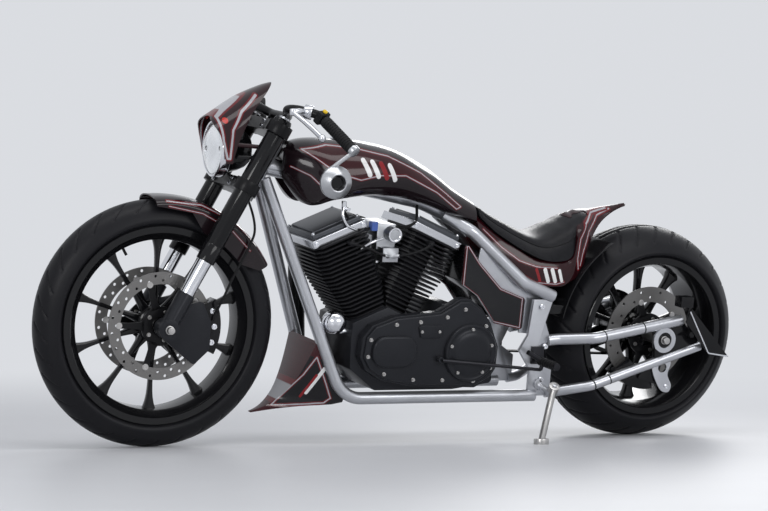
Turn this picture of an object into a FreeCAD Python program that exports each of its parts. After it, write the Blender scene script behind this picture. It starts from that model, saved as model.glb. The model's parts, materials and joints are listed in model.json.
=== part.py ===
"""A long, low chopper motorcycle with a 45 degree V-twin, leaning on its side stand.

Upright bike frame in millimetres: X forward, Y to the rider's left, Z up, Z zero on the floor.
Every piece is modelled upright with straight steering. park() then turns the fork to its rest
angle, leans the bike onto its stand and puts the origin under the middle of its box.
"""
import FreeCAD, Part
import math
import os

V = FreeCAD.Vector
X_AXIS, Y_AXIS, Z_AXIS = V(1, 0, 0), V(0, 1, 0), V(0, 0, 1)
LEFT, RIGHT = 1, -1
SIDES = (LEFT, RIGHT)
bend_step = 20.0
mitred = 1
cord_share = 0.45
lead_radius = 3.5
hose_radius = 3.5
ferrule_length = 32.0
ferrule_wall = 2.0

# Stance
wheelbase = 1600.0
lean_angle = 9.0
rest_steer_angle = -4.8

# Steering
rake = 27.6
fork_offset = 50.0
neck_foot_x, neck_foot_z = 538.0, 745.0
neck_length = 150.0
neck_radius = 28.0
stem_radius = 14.0
neck_wall = 7.0

# Fits
running_gap = 0.3
axle_fit = 0.06
swing_gap = 5.5
soft_gap = 0.5
steer_lock = 27.0

# Front wheel
front_tyre_radius = 350.5
front_tyre_half_width = 62.0
front_crown_radius = 62.0
front_wall_height = 69.5
front_rim_radius = front_tyre_radius - front_wall_height
front_rim_half_width = 56.0
bead_drop = 14.0
front_bead_radius = front_rim_radius - bead_drop
front_rim_inner_radius = front_rim_radius - 41
front_spokes = 10
front_hub_radius = 52.0
front_disc_radius = 152.0
front_disc_inner_radius = 118.0
front_disc_y = 59.0

# Rear wheel
rear_tyre_radius = 324.5
rear_tyre_half_width = 119.0
rear_crown_radius = 140.0
rear_wall_height = 81.5
rear_rim_radius = rear_tyre_radius - rear_wall_height
rear_rim_half_width = 113.0
rear_bead_radius = rear_rim_radius - bead_drop
rear_rim_inner_radius = rear_rim_radius - 37
rear_spokes = 10
rear_hub_radius = 58.0
rear_disc_radius = 146.0
rear_disc_inner_radius = 100.0
rear_disc_y = 78.0
disc_thickness = 5.0
rim_flange = 6.0
wheel_sides = 72

# Axles
front_axle_radius = 12.5
rear_axle_radius = 12.5

# Fork
leg_spacing = 115.0
outer_tube_radius = 27.0
stanchion_radius = 21.0
foot_radius = 25.0
foot_top = 112.0
stanchion_top = 214.0
outer_tube_top = 668.0
yoke_thickness = 34.0
yoke_wall = 9.0

# Axle ends outside the legs and arms
axle_eye_step = 4.0
axle_end_radius = 10.0
axle_end_length = 14.0
front_axle_reach = leg_spacing + foot_radius + 2

# Handlebar
bar_radius = 12.7
grip_radius = 17.0
bar_bend = 55.0

# Frame tubes
backbone_radius = 24.0
downtube_radius = 18.0
rail_radius = 18.0
seat_rail_radius = 19.0
upper_arm_radius = 17.0
lower_arm_radius = 15.0
arm_bend = 60.0
arm_end_y = 168.0
cradle_half_width = 112.0
rail_height = 151.0
plate_thickness = 12.0

rear_axle_reach = arm_end_y + plate_thickness / 2 + axle_eye_step

# Engine
crank_x, crank_z = 117.0, 290.0
vee_angle = 45.0
barrel_base = 116.0
barrel_top = 350.0
fin_pitch = 13.0
fin_thickness = 5.0
fin_half_depth = 88.0
fin_half_width_base = 64.0
fin_half_width_top = 106.0
fin_inner_reach = 70.0
barrel_radius = 58.0
plug_reach = 101.0
plug_height = 335.0
rocker_outer_reach = 108.0
rocker_half_depth = 76.0
rocker_base_height = 24.0
rocker_height = 44.0
pushrod_y = 102.0
pushrod_radius = 9.0
case_half_width = 108.0
primary_depth = 42.0
shift_rod_y = 174.0

# Side stand
stand_pivot = V(-423.0, 178.0, 184.0)
stand_foot = V(-306.0, 326.0, 51.6)
stand_leg_radius = 10.0
stand_eye_half = 11.0
stand_pin_radius = 6.0
stand_stowed = V(-0.99, 0.12, 0.05)


def rod(start, end, radius):
    """A round bar between two points."""
    reach = end - start
    return Part.makeCylinder(radius, reach.Length, start, reach)


def cross_bar(x, z, low, high, radius):
    """A round bar along Y."""
    return Part.makeCylinder(radius, high - low, V(x, low, z), Y_AXIS)


def box(low, high):
    """A box between two corners."""
    size = high - low
    return Part.makeBox(size.x, size.y, size.z, low)


def corner_arc(before, corner, after, radius):
    """The tangent arc that rounds a corner: its two ends and its middle."""
    back = (before - corner).normalize()
    onward = (after - corner).normalize()
    half_turn = (math.pi - back.getAngle(onward)) / 2
    reach = radius * math.tan(half_turn)
    middle = (back + onward).normalize() * (radius / math.cos(half_turn) - radius)
    return corner + back * reach, corner + middle, corner + onward * reach


def bent_path(points, radii):
    """Straight runs joined by tangent arcs, one radius for each inner point."""
    edges = []
    start = points[0]
    for index in range(1, len(points) - 1):
        before, corner, after = points[index - 1:index + 2]
        first, middle, last = corner_arc(before, corner, after, radii[index - 1])
        edges.append(Part.LineSegment(start, first).toShape())
        edges.append(Part.Arc(first, middle, last).toShape())
        start = last
    edges.append(Part.LineSegment(start, points[-1]).toShape())
    return Part.Wire(edges)


def tube(points, radius, bend):
    """A round bar along a path, each bend walked in short straight steps with mitred joints."""
    path = [points[0]]
    for before, corner, after in zip(points, points[1:], points[2:]):
        ends = corner_arc(before, corner, after, bend)
        turn = math.degrees((corner - before).getAngle(after - corner))
        steps = round(turn / bend_step)
        path += Part.Arc(*ends).toShape().discretize(steps + 1) if steps else [corner]
    ring = Part.Wire(Part.makeCircle(radius, points[0], points[1] - points[0]))
    sweep = Part.BRepOffsetAPI.MakePipeShell(Part.makePolygon(path + [points[-1]]))
    sweep.setTransitionMode(mitred)
    sweep.add(ring)
    sweep.build()
    sweep.makeSolid()
    return sweep.shape()


def cord(points, radius):
    """A hose or lead: straight runs joined by tangent arcs that use most of the shorter run."""
    radii = []
    for before, corner, after in zip(points, points[1:], points[2:]):
        onward, back = after - corner, corner - before
        shorter = min(onward.Length, back.Length)
        radii.append(cord_share * shorter / math.tan(back.getAngle(onward) / 2))
    print("cord arc radii", [round(arc, 1) for arc in radii])
    ring = Part.Wire(Part.makeCircle(radius, points[0], points[1] - points[0]))
    return bent_path(points, radii).makePipeShell([ring], True, True)


def ferrule(points, radius):
    """The fitting that a cord leaves at its first point, in line with its first run."""
    heading = (points[1] - points[0]).normalize()
    face = points[0] - heading * running_gap
    return rod(face - heading * ferrule_length, face, radius + ferrule_wall)


def rounded_outline(points, radius):
    """A closed outline whose corners are all rounded alike."""
    count = len(points)
    corners = [corner_arc(points[i - 1], points[i], points[(i + 1) % count], radius) for i in range(count)]
    edges = []
    for index, (first, middle, last) in enumerate(corners):
        edges.append(Part.Arc(first, middle, last).toShape())
        edges.append(Part.LineSegment(last, corners[(index + 1) % count][0]).toShape())
    return Part.Wire(edges)


def plate(outline, low, high, radius=0.0):
    """A plate of an X, Z outline, from one Y to another."""
    points = [V(x, low, z) for x, z in outline]
    wire = rounded_outline(points, radius) if radius else Part.makePolygon(points + points[:1])
    return Part.Face(wire).extrude(V(0, high - low, 0))


def spun(outline, start=0.0, turn=360.0):
    """A solid of revolution about Y from a Y, radius outline that starts at an angle from +X."""
    points = [V(radius, y, 0) for y, radius in outline]
    face = Part.Face(Part.makePolygon(points + points[:1]))
    face.rotate(V(), Y_AXIS, -start)
    return face.revolve(V(), Y_AXIS, -turn)


def turned(outline, sides, axis=Y_AXIS):
    """A solid about Y or X with many flat sides, through a row of places on the axis and radii."""
    rings = []
    for place, radius in outline:
        turns = [2 * math.pi * index / sides for index in range(sides)]
        places = [(radius * math.cos(turn), radius * math.sin(turn)) for turn in turns]
        rings.append([V(a, place, b) if axis == Y_AXIS else V(place, a, b) for a, b in places])
    return skinned(rings, False)


def skinned(rings, with_triangles=True):
    """A closed solid of flat faces through a row of rings that have equally many points."""
    faces = [Part.Face(Part.makePolygon(ring + ring[:1])) for ring in (rings[0], rings[-1])]
    count = len(rings[0])
    for near, far in zip(rings, rings[1:]):
        for index in range(count):
            onward = (index + 1) % count
            around = [near[index], near[onward], far[onward], far[index]]
            pieces = [around[:3], [around[0]] + around[2:]] if with_triangles else [around]
            faces += [Part.Face(Part.makePolygon(piece + piece[:1])) for piece in pieces]
    shell = Part.Shell(faces)
    shell.sewShape()
    solid = Part.Solid(shell)
    return solid if solid.Volume > 0 else Part.Solid(shell.reversed())


def mirrored(shape):
    """The same shape on the other side of the bike."""
    return shape.mirror(V(), Y_AXIS)


def both_sides(shape):
    """A left piece and its mirror image as two solids."""
    return Part.makeCompound([shape, mirrored(shape)])


def moved(shape, offset):
    """A copy moved by an offset."""
    copy = shape.copy()
    copy.translate(offset)
    return copy


def ring_of(shape, count, axis_point=V(), axis=Y_AXIS):
    """Copies of a shape spread evenly round an axis."""
    copies = []
    for index in range(count):
        copy = shape.copy()
        copy.rotate(axis_point, axis, 360.0 * index / count)
        copies.append(copy)
    return copies


def eased(stations, steps):
    """Rows between the given rows, each column following a smooth curve."""
    rows = []
    last = len(stations) - 1
    for index in range(last):
        around = [stations[max(0, min(last, index + shift))] for shift in (-1, 0, 1, 2)]
        for step in range(steps):
            t = step / steps
            row = []
            for a, b, c, d in zip(*around):
                bend = 2 * a - 5 * b + 4 * c - d + t * (3 * (b - c) + d - a)
                row.append(b + t / 2 * (c - a + t * bend))
            rows.append(tuple(row))
    return rows + [stations[-1]]


# Places worked out from the stance
def lean_turn():
    """The turn that leans the bike to its left."""
    return FreeCAD.Rotation(X_AXIS, -lean_angle)


def steering_axis():
    """The direction of the steering axis, upwards."""
    return V(-math.sin(math.radians(rake)), 0, math.cos(math.radians(rake)))


def contact_height(radius, crown, axle):
    """Height of a wheel's centre over the floor when its axle points along a tilted direction."""
    return (radius - crown) * math.sqrt(1 - axle.z ** 2) + crown


def front_axle_height():
    """Bike-frame height of the front axle that lets the leaned, steered tyre touch the floor."""
    steer = FreeCAD.Rotation(steering_axis(), rest_steer_angle)
    ahead = V(math.cos(math.radians(rake)), 0, math.sin(math.radians(rake))) * fork_offset
    axle = lean_turn().multVec(steer.multVec(Y_AXIS))
    rise = lean_turn().multVec(steer.multVec(ahead) - ahead).z
    centre = contact_height(front_tyre_radius, front_crown_radius, axle)
    return (centre - rise) / math.cos(math.radians(lean_angle))


def rear_axle_height():
    """Bike-frame height of the rear axle that lets the leaned tyre touch the floor."""
    centre = contact_height(rear_tyre_radius, rear_crown_radius, lean_turn().multVec(Y_AXIS))
    return centre / math.cos(math.radians(lean_angle))


neck_foot = V(neck_foot_x, 0, neck_foot_z)
rake_sine, rake_cosine = math.sin(math.radians(rake)), math.cos(math.radians(rake))
fork_reach = (neck_foot_z + fork_offset * rake_sine - front_axle_height()) / rake_cosine
front_axle_x = neck_foot_x + fork_reach * rake_sine + fork_offset * rake_cosine
front_axle_centre = V(front_axle_x, 0, front_axle_height())
rear_axle_centre = V(front_axle_x - wheelbase, 0, rear_axle_height())
neck_head = neck_foot + steering_axis() * neck_length
fork_place = FreeCAD.Placement(front_axle_centre, FreeCAD.Rotation(Y_AXIS, -rake))
upper_yoke_low = fork_reach + neck_length + running_gap
lower_yoke_low = fork_reach - running_gap - yoke_thickness


def in_fork(shape):
    """Move a shape from fork axes (Z up the leg, origin at the axle) to the bike."""
    copy = shape.copy()
    copy.Placement = fork_place.multiply(copy.Placement)
    return copy


def at_front(shape):
    return moved(shape, front_axle_centre)


def at_rear(shape):
    return moved(shape, rear_axle_centre)


# Wheels
def tyre(radius, half_width, crown, flange_half, flange_radius, bead_radius):
    """A tyre: round crown, bulged side walls and beads inside the rim flanges."""
    edge_turn = math.asin(0.9 * min(half_width / crown, 1.0))
    crown_steps = 3
    inner = flange_half - rim_flange
    side = []
    for step in range(crown_steps + 1):
        turn = edge_turn * (step + 0.5) / (crown_steps + 0.5)
        side.append((crown * math.sin(turn), radius - crown * (1 - math.cos(turn))))
    shoulder_r = side[-1][1]
    side.append((half_width, (shoulder_r + flange_radius) / 2))
    side.append((inner + (half_width - inner) * 0.7, flange_radius + rim_flange))
    side.append((inner, flange_radius))
    solid = turned([(-y, r) for y, r in reversed(side)] + side, wheel_sides)
    return solid.cut(turned([(-half_width, bead_radius), (half_width, bead_radius)], wheel_sides))


def rim_hoop(half, flange_radius, bead_radius, inner_radius):
    """The rim's hoop with its flanges and bead seats, thickest in the middle."""
    seat = half - rim_flange
    well_half = half * 0.55
    lip = bead_radius - rim_flange
    outside = [(-half, flange_radius), (-seat, flange_radius), (-seat, bead_radius), (seat, bead_radius),
               (seat, flange_radius), (half, flange_radius)]
    inside = [(-half, lip), (-well_half, inner_radius), (well_half, inner_radius), (half, lip)]
    return turned(outside, wheel_sides).cut(turned(inside, wheel_sides))


def spoke(inner_radius, outer_radius, root_half, waist_half, tip_half, half_thickness):
    """One cast spoke, wide at both ends and slim between."""
    middle = (inner_radius * 0.6 + outer_radius * 0.4)
    outline = [(inner_radius, root_half), (middle, waist_half), (outer_radius, tip_half),
               (outer_radius, -tip_half), (middle, -waist_half), (inner_radius, -root_half)]
    return plate(outline, -half_thickness, half_thickness)


def front_rim():
    hub_half = front_disc_y - disc_thickness / 2
    core_half = 16.0
    hub = spun([(-hub_half, front_hub_radius * 0.75), (-core_half, front_hub_radius),
                (core_half, front_hub_radius), (hub_half, front_hub_radius * 0.75),
                (hub_half, front_axle_radius + axle_fit), (-hub_half, front_axle_radius + axle_fit)])
    hoop = rim_hoop(front_rim_half_width, front_rim_radius, front_bead_radius, front_rim_inner_radius)
    root, tip = front_hub_radius - 4, front_rim_inner_radius + 3
    spokes = ring_of(spoke(root, tip, 16, 6.5, 22, 11), front_spokes)
    return at_front(hub.multiFuse([hoop] + spokes).removeSplitter())


def brake_disc(outer, inner, centre_radius, bore, arms, arm_half, y):
    """A brake ring carried on arms from its centre."""
    half = disc_thickness / 2
    ring = spun([(y - half, inner), (y + half, inner), (y + half, outer), (y - half, outer)])
    centre = spun([(y - half, bore), (y + half, bore), (y + half, centre_radius), (y - half, centre_radius)])
    arm = box(V(centre_radius - 4, y - half, -arm_half), V(inner + 5, y + half, arm_half))
    return ring.multiFuse([centre] + ring_of(arm, arms)).removeSplitter()


def front_discs():
    disc = brake_disc(front_disc_radius, front_disc_inner_radius, 66, front_hub_radius * 0.5, 5, 11,
                      front_disc_y)
    return at_front(both_sides(disc))


def front_tyre():
    return at_front(tyre(front_tyre_radius, front_tyre_half_width, front_crown_radius,
                         front_rim_half_width, front_rim_radius, front_bead_radius))


def rear_rim():
    hub_half = rear_disc_y - disc_thickness / 2
    bore = rear_axle_radius + axle_fit
    core_half = 24.0
    hub = spun([(-pulley_y() + pulley_width / 2, rear_hub_radius * 0.8), (-core_half, rear_hub_radius),
                (core_half, rear_hub_radius), (hub_half, rear_hub_radius * 0.8),
                (hub_half, bore), (-pulley_y() + pulley_width / 2, bore)])
    hoop = rim_hoop(rear_rim_half_width, rear_rim_radius, rear_bead_radius, rear_rim_inner_radius)
    root, tip = rear_hub_radius - 4, rear_rim_inner_radius + 3
    spokes = ring_of(spoke(root, tip, 18, 9, 26, 16), rear_spokes)
    return at_rear(hub.multiFuse([hoop] + spokes).removeSplitter())


def rear_tyre():
    return at_rear(tyre(rear_tyre_radius, rear_tyre_half_width, rear_crown_radius,
                        rear_rim_half_width, rear_rim_radius, rear_bead_radius))


def rear_disc():
    disc = brake_disc(rear_disc_radius, rear_disc_inner_radius, 62, rear_hub_radius * 0.6, 5, 14,
                      rear_disc_y)
    return at_rear(disc)


pulley_width = 20.0
pulley_radius = 98.0
sprocket_radius = 40.0
belt_thickness = 5.0
belt_gap = 5.0
sprocket_x, sprocket_z = -143.0, 289.0


def pulley_y():
    """Distance of the belt's middle from the bike's middle: just outside the tyre."""
    return rear_tyre_half_width + belt_gap + pulley_width / 2


def rear_pulley():
    half = pulley_width / 2
    disc = spun([(-half, rear_axle_radius + axle_fit), (half, rear_axle_radius + axle_fit),
                 (half, pulley_radius), (-half, pulley_radius)])
    window = plate([(44, 12), (84, 26), (84, -26), (44, -12)], -half - 1, half + 1)
    return at_rear(moved(disc.cut(Part.makeCompound(ring_of(window, 5))), V(0, -pulley_y(), 0)))


def belt_outline(grow):
    """The belt's closed outline round its two pulleys, in the X, Z plane."""
    front, rear = V(sprocket_x, 0, sprocket_z), rear_axle_centre
    small, large = sprocket_radius + grow, pulley_radius + grow
    reach = front - rear
    heading = math.atan2(reach.z, reach.x)
    spread = math.acos((large - small) / reach.Length)

    def point(centre, radius, angle):
        return centre + V(radius * math.cos(angle), 0, radius * math.sin(angle))

    up, down = heading + spread, heading - spread
    edges = [Part.LineSegment(point(rear, large, up), point(front, small, up)).toShape(),
             Part.Arc(point(front, small, up), point(front, small, heading),
                      point(front, small, down)).toShape(),
             Part.LineSegment(point(front, small, down), point(rear, large, down)).toShape(),
             Part.Arc(point(rear, large, down), point(rear, large, heading + math.pi),
                      point(rear, large, up)).toShape()]
    return Part.Face(Part.Wire(edges))


def drive_belt():
    loop = belt_outline(running_gap + belt_thickness).cut(belt_outline(running_gap))
    return moved(loop.extrude(V(0, pulley_width, 0)), V(0, -pulley_y() - pulley_width / 2, 0))


# Fork
def leg_bar(low, high, radius):
    """Left and right bars along the fork legs."""
    return [Part.makeCylinder(radius, high - low, V(0, side * leg_spacing, low)) for side in SIDES]


def yoke(low, clamp_radius):
    """One yoke in fork axes: two clamps and a web back to the stem."""
    clamps = leg_bar(low, low + yoke_thickness, clamp_radius)
    stem_boss = Part.makeCylinder(stem_radius + 14, yoke_thickness, V(-fork_offset, 0, low))
    inner = clamp_radius * 0.75
    web = [V(inner, -leg_spacing, low), V(inner, leg_spacing, low), V(-inner, leg_spacing, low),
           V(-fork_offset - stem_radius - 10, 14, low), V(-fork_offset - stem_radius - 10, -14, low),
           V(-inner, -leg_spacing, low)]
    slab = Part.Face(Part.makePolygon(web + web[:1])).extrude(V(0, 0, yoke_thickness))
    return slab.multiFuse(clamps + [stem_boss])


def yokes():
    clamp = outer_tube_radius + yoke_wall
    stem_foot = V(-fork_offset, 0, lower_yoke_low)
    stem = Part.makeCylinder(stem_radius, upper_yoke_low - lower_yoke_low, stem_foot)
    solid = yoke(lower_yoke_low, clamp).multiFuse([yoke(upper_yoke_low, clamp), stem])
    bores = leg_bar(0, outer_tube_top + yoke_wall, outer_tube_radius)
    clamped = in_fork(solid.cut(Part.makeCompound(bores)).removeSplitter())
    return clamped.fuse(ferrule(hose_points(), hose_radius))


def yoke_room(turn):
    """The space that the upper yoke needs at one steering angle."""
    grown = yoke(upper_yoke_low - swing_gap, outer_tube_radius + yoke_wall + swing_gap)
    room = in_fork(grown.fuse(moved(grown, V(0, 0, 2 * swing_gap))))
    return room.rotated(neck_foot, steering_axis(), turn)


def fork_tubes():
    return in_fork(Part.makeCompound(leg_bar(stanchion_top, outer_tube_top, outer_tube_radius)))


def stanchions():
    return in_fork(Part.makeCompound(leg_bar(foot_top, stanchion_top, stanchion_radius)))


def fork_feet():
    """Black lower clamps with the axle bosses and the calliper brackets."""
    parts = []
    for side in SIDES:
        leg = Part.makeCylinder(foot_radius, foot_top, V(0, side * leg_spacing, 0))
        boss_end = V(0, side * leg_spacing - foot_radius, 0)
        boss = Part.makeCylinder(foot_radius + 4, 2 * foot_radius, boss_end, Y_AXIS)
        inner = side * (front_disc_y + calliper_half)
        bracket = plate([(0, 62), (-62, 118), (-112, 80), (-150, 10), (-130, -50), (0, -26)],
                        min(inner, inner + side * 13), max(inner, inner + side * 13), 10)
        axle_hole = cross_bar(0, 0, -leg_spacing * 2, leg_spacing * 2, front_axle_radius)
        parts.append(leg.multiFuse([boss, bracket]).cut(axle_hole).removeSplitter())
    return in_fork(Part.makeCompound(parts))


def front_axle():
    """The axle with a spacer each side of the hub."""
    reach = front_axle_reach
    shaft = cross_bar(0, 0, -reach, reach, front_axle_radius)
    hub_end = front_disc_y + disc_thickness / 2 + running_gap
    spacer_end = front_disc_y + calliper_half
    spacers = [cross_bar(0, 0, hub_end, spacer_end, 19), cross_bar(0, 0, -spacer_end, -hub_end, 19)]
    ends = cross_bar(0, 0, -reach - axle_end_length, reach + axle_end_length, axle_end_radius)
    return at_front(shaft.multiFuse(spacers + [ends]))


calliper_half = 22.0


def calliper(disc_outer, y, start, turn):
    """A calliper that straddles a disc's rim, as a sector with a slot."""
    outer, inner, slot = disc_outer + 20, disc_outer - 46, disc_thickness / 2 + 2
    low, high = y - calliper_half, y + calliper_half
    body = spun([(low, inner), (high, inner), (high, outer), (low, outer)], start, turn)
    gap = spun([(y - slot, 0), (y + slot, 0), (y + slot, disc_outer + 5), (y - slot, disc_outer + 5)])
    return body.cut(gap)


def front_callipers():
    left = at_front(calliper(front_disc_radius, front_disc_y, 152, 54))
    union = ferrule(hose_points()[::-1], hose_radius)
    return Part.makeCompound([left.fuse(union), mirrored(left)])


def hose_points():
    """The left brake hose's way from the lower yoke down behind the leg to the calliper."""
    axle = front_axle_centre
    start = fork_place.multVec(V(-40, 80, lower_yoke_low - 10))
    end = axle + V(-152, front_disc_y + calliper_half + 12, 48)
    return [start, axle + V(-262, 87, 290), axle + V(-238, 91, 226), axle + V(-192, 94, 140),
            end + V(-8, 20, 34), end]


def brake_hose():
    return cord(hose_points(), hose_radius)


def front_fender():
    """A hugging fender: a crown over the tread with skirts down to the fork legs."""
    gap, wall = 12.0, 3.5
    half = front_tyre_half_width + gap
    crown = front_tyre_radius + gap
    skirt = front_tyre_radius - 66
    profile = [(1, 0), (1, 0.62), (0.86, 0.82), (0.5, 0.95)]
    side = [(share * half, skirt + rise * (crown - skirt)) for share, rise in profile]
    outer = [(y + wall, r + (wall if r > skirt else 0)) for y, r in side]

    def across(points):
        return points + [(-y, r) for y, r in reversed(points)]

    ahead, behind, above = 60, -crown - 57.5, crown + 57.5
    keep = plate([(ahead, crown - 22.5), (ahead, above), (behind, above), (behind, 120), (-150, 200),
                  (-70, crown - 42.5)], -half - 10, half + 10)
    shell = spun(across(outer) + across(side)[::-1], 84, 66)
    skin = shell.common(keep)
    stays = []
    for side in SIDES:
        low, high = sorted((side * (half + 1), side * (leg_spacing - outer_tube_radius + 8)))
        stays.append(in_fork(cross_bar(0, skirt + 20, low, high, 9)).translated(-front_axle_centre))
    legs = in_fork(Part.makeCompound(leg_bar(foot_top, outer_tube_top, outer_tube_radius)))
    legs = moved(legs, -front_axle_centre)
    return at_front(skin.multiFuse(stays).cut(legs))


def headlight():
    """A round lamp: a domed glass in front, a bowl behind."""
    glass, rim, bowl, back = 76.0, 82.0, 74.0, 34.0
    outline = [(-72, back), (-44, bowl - 8), (-16, bowl), (-16, rim), (10, rim), (14, glass),
               (26, glass * 0.66), (32, glass * 0.3)]
    lamp = turned(outline, 32, X_AXIS)
    ear = box(V(-134, 40, -17), V(-57, leg_spacing - 8, -7))
    ears = [ear, mirrored(ear)]
    legs = in_fork(Part.makeCompound(leg_bar(stanchion_top, outer_tube_top, outer_tube_radius)))
    return moved(lamp.multiFuse(ears), headlight_centre()).cut(legs)


def headlight_centre():
    return front_axle_centre + V(-126, 0, 496)


def arch(x, half, foot, crown):
    """A D-shaped ring across the bike: straight sides under a crown of flats."""
    rise = half * 0.8
    top = []
    for step in range(7):
        turn = math.radians(180 * step / 6)
        top.append(V(x, half * math.cos(turn), crown - rise + rise * math.sin(turn)))
    return [V(x, -half, foot)] + [V(x, half, foot)] + top


def fairing():
    """A small mask behind the headlight: an arched shell trimmed to its swept side view."""
    wall = 4.0
    lamp = headlight_centre()
    stations = [(10, 93, 88), (-80, 100, 150), (-150, 100, 184), (-190, 100, 196)]
    foot = -80.0
    outer = skinned([arch(x, half, foot, crown) for x, half, crown in stations])
    inner = skinned([arch(x, half - wall, foot - wall, crown - wall) for x, half, crown in stations])
    side_view = [(-184, 196), (-120, 172), (-40, 122), (4, 84), (-18, 10), (-28, -34), (-46, -34), (-66, 40),
                 (-100, 108), (-150, 162)]
    trim = plate(side_view, -120, 120)
    stays = [rod(V(-45, side * 90, 20), V(-140, side * (leg_spacing - 8), 16), 6) for side in SIDES]
    legs = in_fork(Part.makeCompound(leg_bar(stanchion_top, outer_tube_top, outer_tube_radius)))
    return moved(outer.cut(inner).common(trim).multiFuse(stays), lamp).cut(legs)


def bar_points():
    """The handlebar's path from its left end to its middle, above the upper yoke."""
    clamp = fork_place.multVec(V(-fork_offset + 22, 0, upper_yoke_low + yoke_thickness + 34))
    end = clamp + V(-96, 345, -62)
    shoulder = clamp + V(14, 165, 10)
    return end, shoulder, clamp


def handlebar():
    """The bar with its grips, on two pillars."""
    end, shoulder, clamp = bar_points()
    near = V(clamp.x, 60, clamp.z)
    points = [end, shoulder, near] + [V(p.x, -p.y, p.z) for p in (near, shoulder, end)]
    bar = tube(points, bar_radius, bar_bend)
    grip_length = 125.0
    heading = (shoulder - end).normalize()
    grip = rod(end, end + heading * grip_length, grip_radius)
    pillars = []
    for side in SIDES:
        base = fork_place.multVec(V(-fork_offset + 22, side * 45, upper_yoke_low + yoke_thickness))
        pillars.append(rod(base, base + steering_axis() * 34, 13))
    return bar.multiFuse([grip, mirrored(grip)] + pillars).removeSplitter()


def levers():
    end, shoulder, _ = bar_points()
    heading = (shoulder - end).normalize()
    perch = end + heading * 152
    ahead = V(0.78, 0.3, -0.1).normalize()
    collar = rod(perch - heading * 14, perch + heading * 14, bar_radius + 7)
    pivot = perch + ahead * 46
    tip = end + heading * 12 + ahead * 66
    blade = rod(pivot, tip, 8)
    arm = rod(perch, pivot, 11)
    knob = rod(tip - heading * 8, tip + heading * 8, 11)
    bore = rod(perch - heading * 20, perch + heading * 20, bar_radius)
    lever = collar.multiFuse([arm, blade, knob]).cut(bore)
    return both_sides(lever)


def mirror():
    """A round mirror hanging from an arm at the left bar end."""
    end, shoulder, _ = bar_points()
    heading = (shoulder - end).normalize()
    start = end - heading * 14
    knob = rod(end, start, grip_radius)
    centre = end + V(30, 6, -88)
    arm = rod(start, centre + V(-4, 0, 30), 6)
    dish = Part.makeCylinder(44, 14, centre - V(7, 0, 0), X_AXIS)
    return knob.multiFuse([arm, dish])


# Frame
def pivot_top():
    return V(-432, cradle_half_width, 449)


def backbone_points():
    """The backbone's path from the neck back to the seat rails."""
    start = neck_foot + steering_axis() * (neck_length * 0.45)
    return [start, V(140, 0, 742), V(-20, 0, 712), V(-108, 0, 676)]


def backbone():
    return tube(backbone_points(), backbone_radius, 160)


def steering_neck():
    """The neck tube with the backbone that runs back under the tank."""
    outer = rod(neck_foot, neck_head, neck_radius)
    bore = rod(neck_foot - steering_axis(), neck_head + steering_axis(), neck_radius - neck_wall)
    return outer.fuse(backbone()).cut(bore)


def downtube_points():
    top = neck_foot + steering_axis() * 26 + V(-22, 26, 0)
    foot = V(245, cradle_half_width, rail_height)
    return top, foot


def downtubes():
    top, foot = downtube_points()
    heading = (foot - top).normalize()
    bend_reach = 62.0
    left = rod(top, foot - heading * bend_reach, downtube_radius)
    neck = rod(neck_foot, neck_head, neck_radius)
    pair = left.fuse(mirrored(left)).cut(neck)
    return pair


def lower_rail():
    """The cradle's left bottom rail, with the bend that meets its downtube."""
    top, foot = downtube_points()
    heading = (foot - top).normalize()
    start = foot - heading * 62
    rear = V(-396, cradle_half_width, rail_height)
    return tube([start, foot, rear], rail_radius, 90)


def lower_rails():
    return both_sides(lower_rail())


def seat_rail_points():
    return [V(-92, 22, 674), V(-160, 72, 634), V(-330, cradle_half_width, 488), pivot_top()]


def seat_rail():
    """The left tube from the backbone's end down to its pivot plate."""
    return tube(seat_rail_points(), seat_rail_radius, 60)


def seat_rails():
    left = seat_rail()
    right = mirrored(left)
    return Part.makeCompound([left.cut(backbone()), right.cut(backbone())])


def pivot_plates():
    low = cradle_half_width - plate_thickness / 2
    outline = [(-366, 440), (-356, 332), (-330, 288), (-372, 230), (-372, 150), (-446, 150), (-446, 230),
               (-398, 262), (-430, 330), (-412, 372), (-432, 440)]
    left = plate(outline, low, low + plate_thickness)
    joined = [seat_rail(), lower_rail(), tube(upper_arm_points(), upper_arm_radius, arm_bend),
              tube(lower_arm_points(), lower_arm_radius, arm_bend)]
    left = left.cut(Part.makeCompound(joined))
    return Part.makeCompound([left.fuse(stand_bracket()), mirrored(left)])


def upper_arm_points():
    rear = rear_axle_centre
    return [V(-428, cradle_half_width, 316), V(-462, cradle_half_width + 4, 320), V(-560, arm_end_y, 332),
            V(rear.x - 59, arm_end_y, rear.z + 60)]


def lower_arm_points():
    rear = rear_axle_centre
    return [V(-433, cradle_half_width, 158), V(-468, cradle_half_width + 4, 162), V(-560, arm_end_y, 188),
            V(rear.x - 132, arm_end_y, rear.z - 20)]


def upper_arms():
    return both_sides(tube(upper_arm_points(), upper_arm_radius, arm_bend))


def lower_arms():
    return both_sides(tube(lower_arm_points(), lower_arm_radius, arm_bend))


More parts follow.
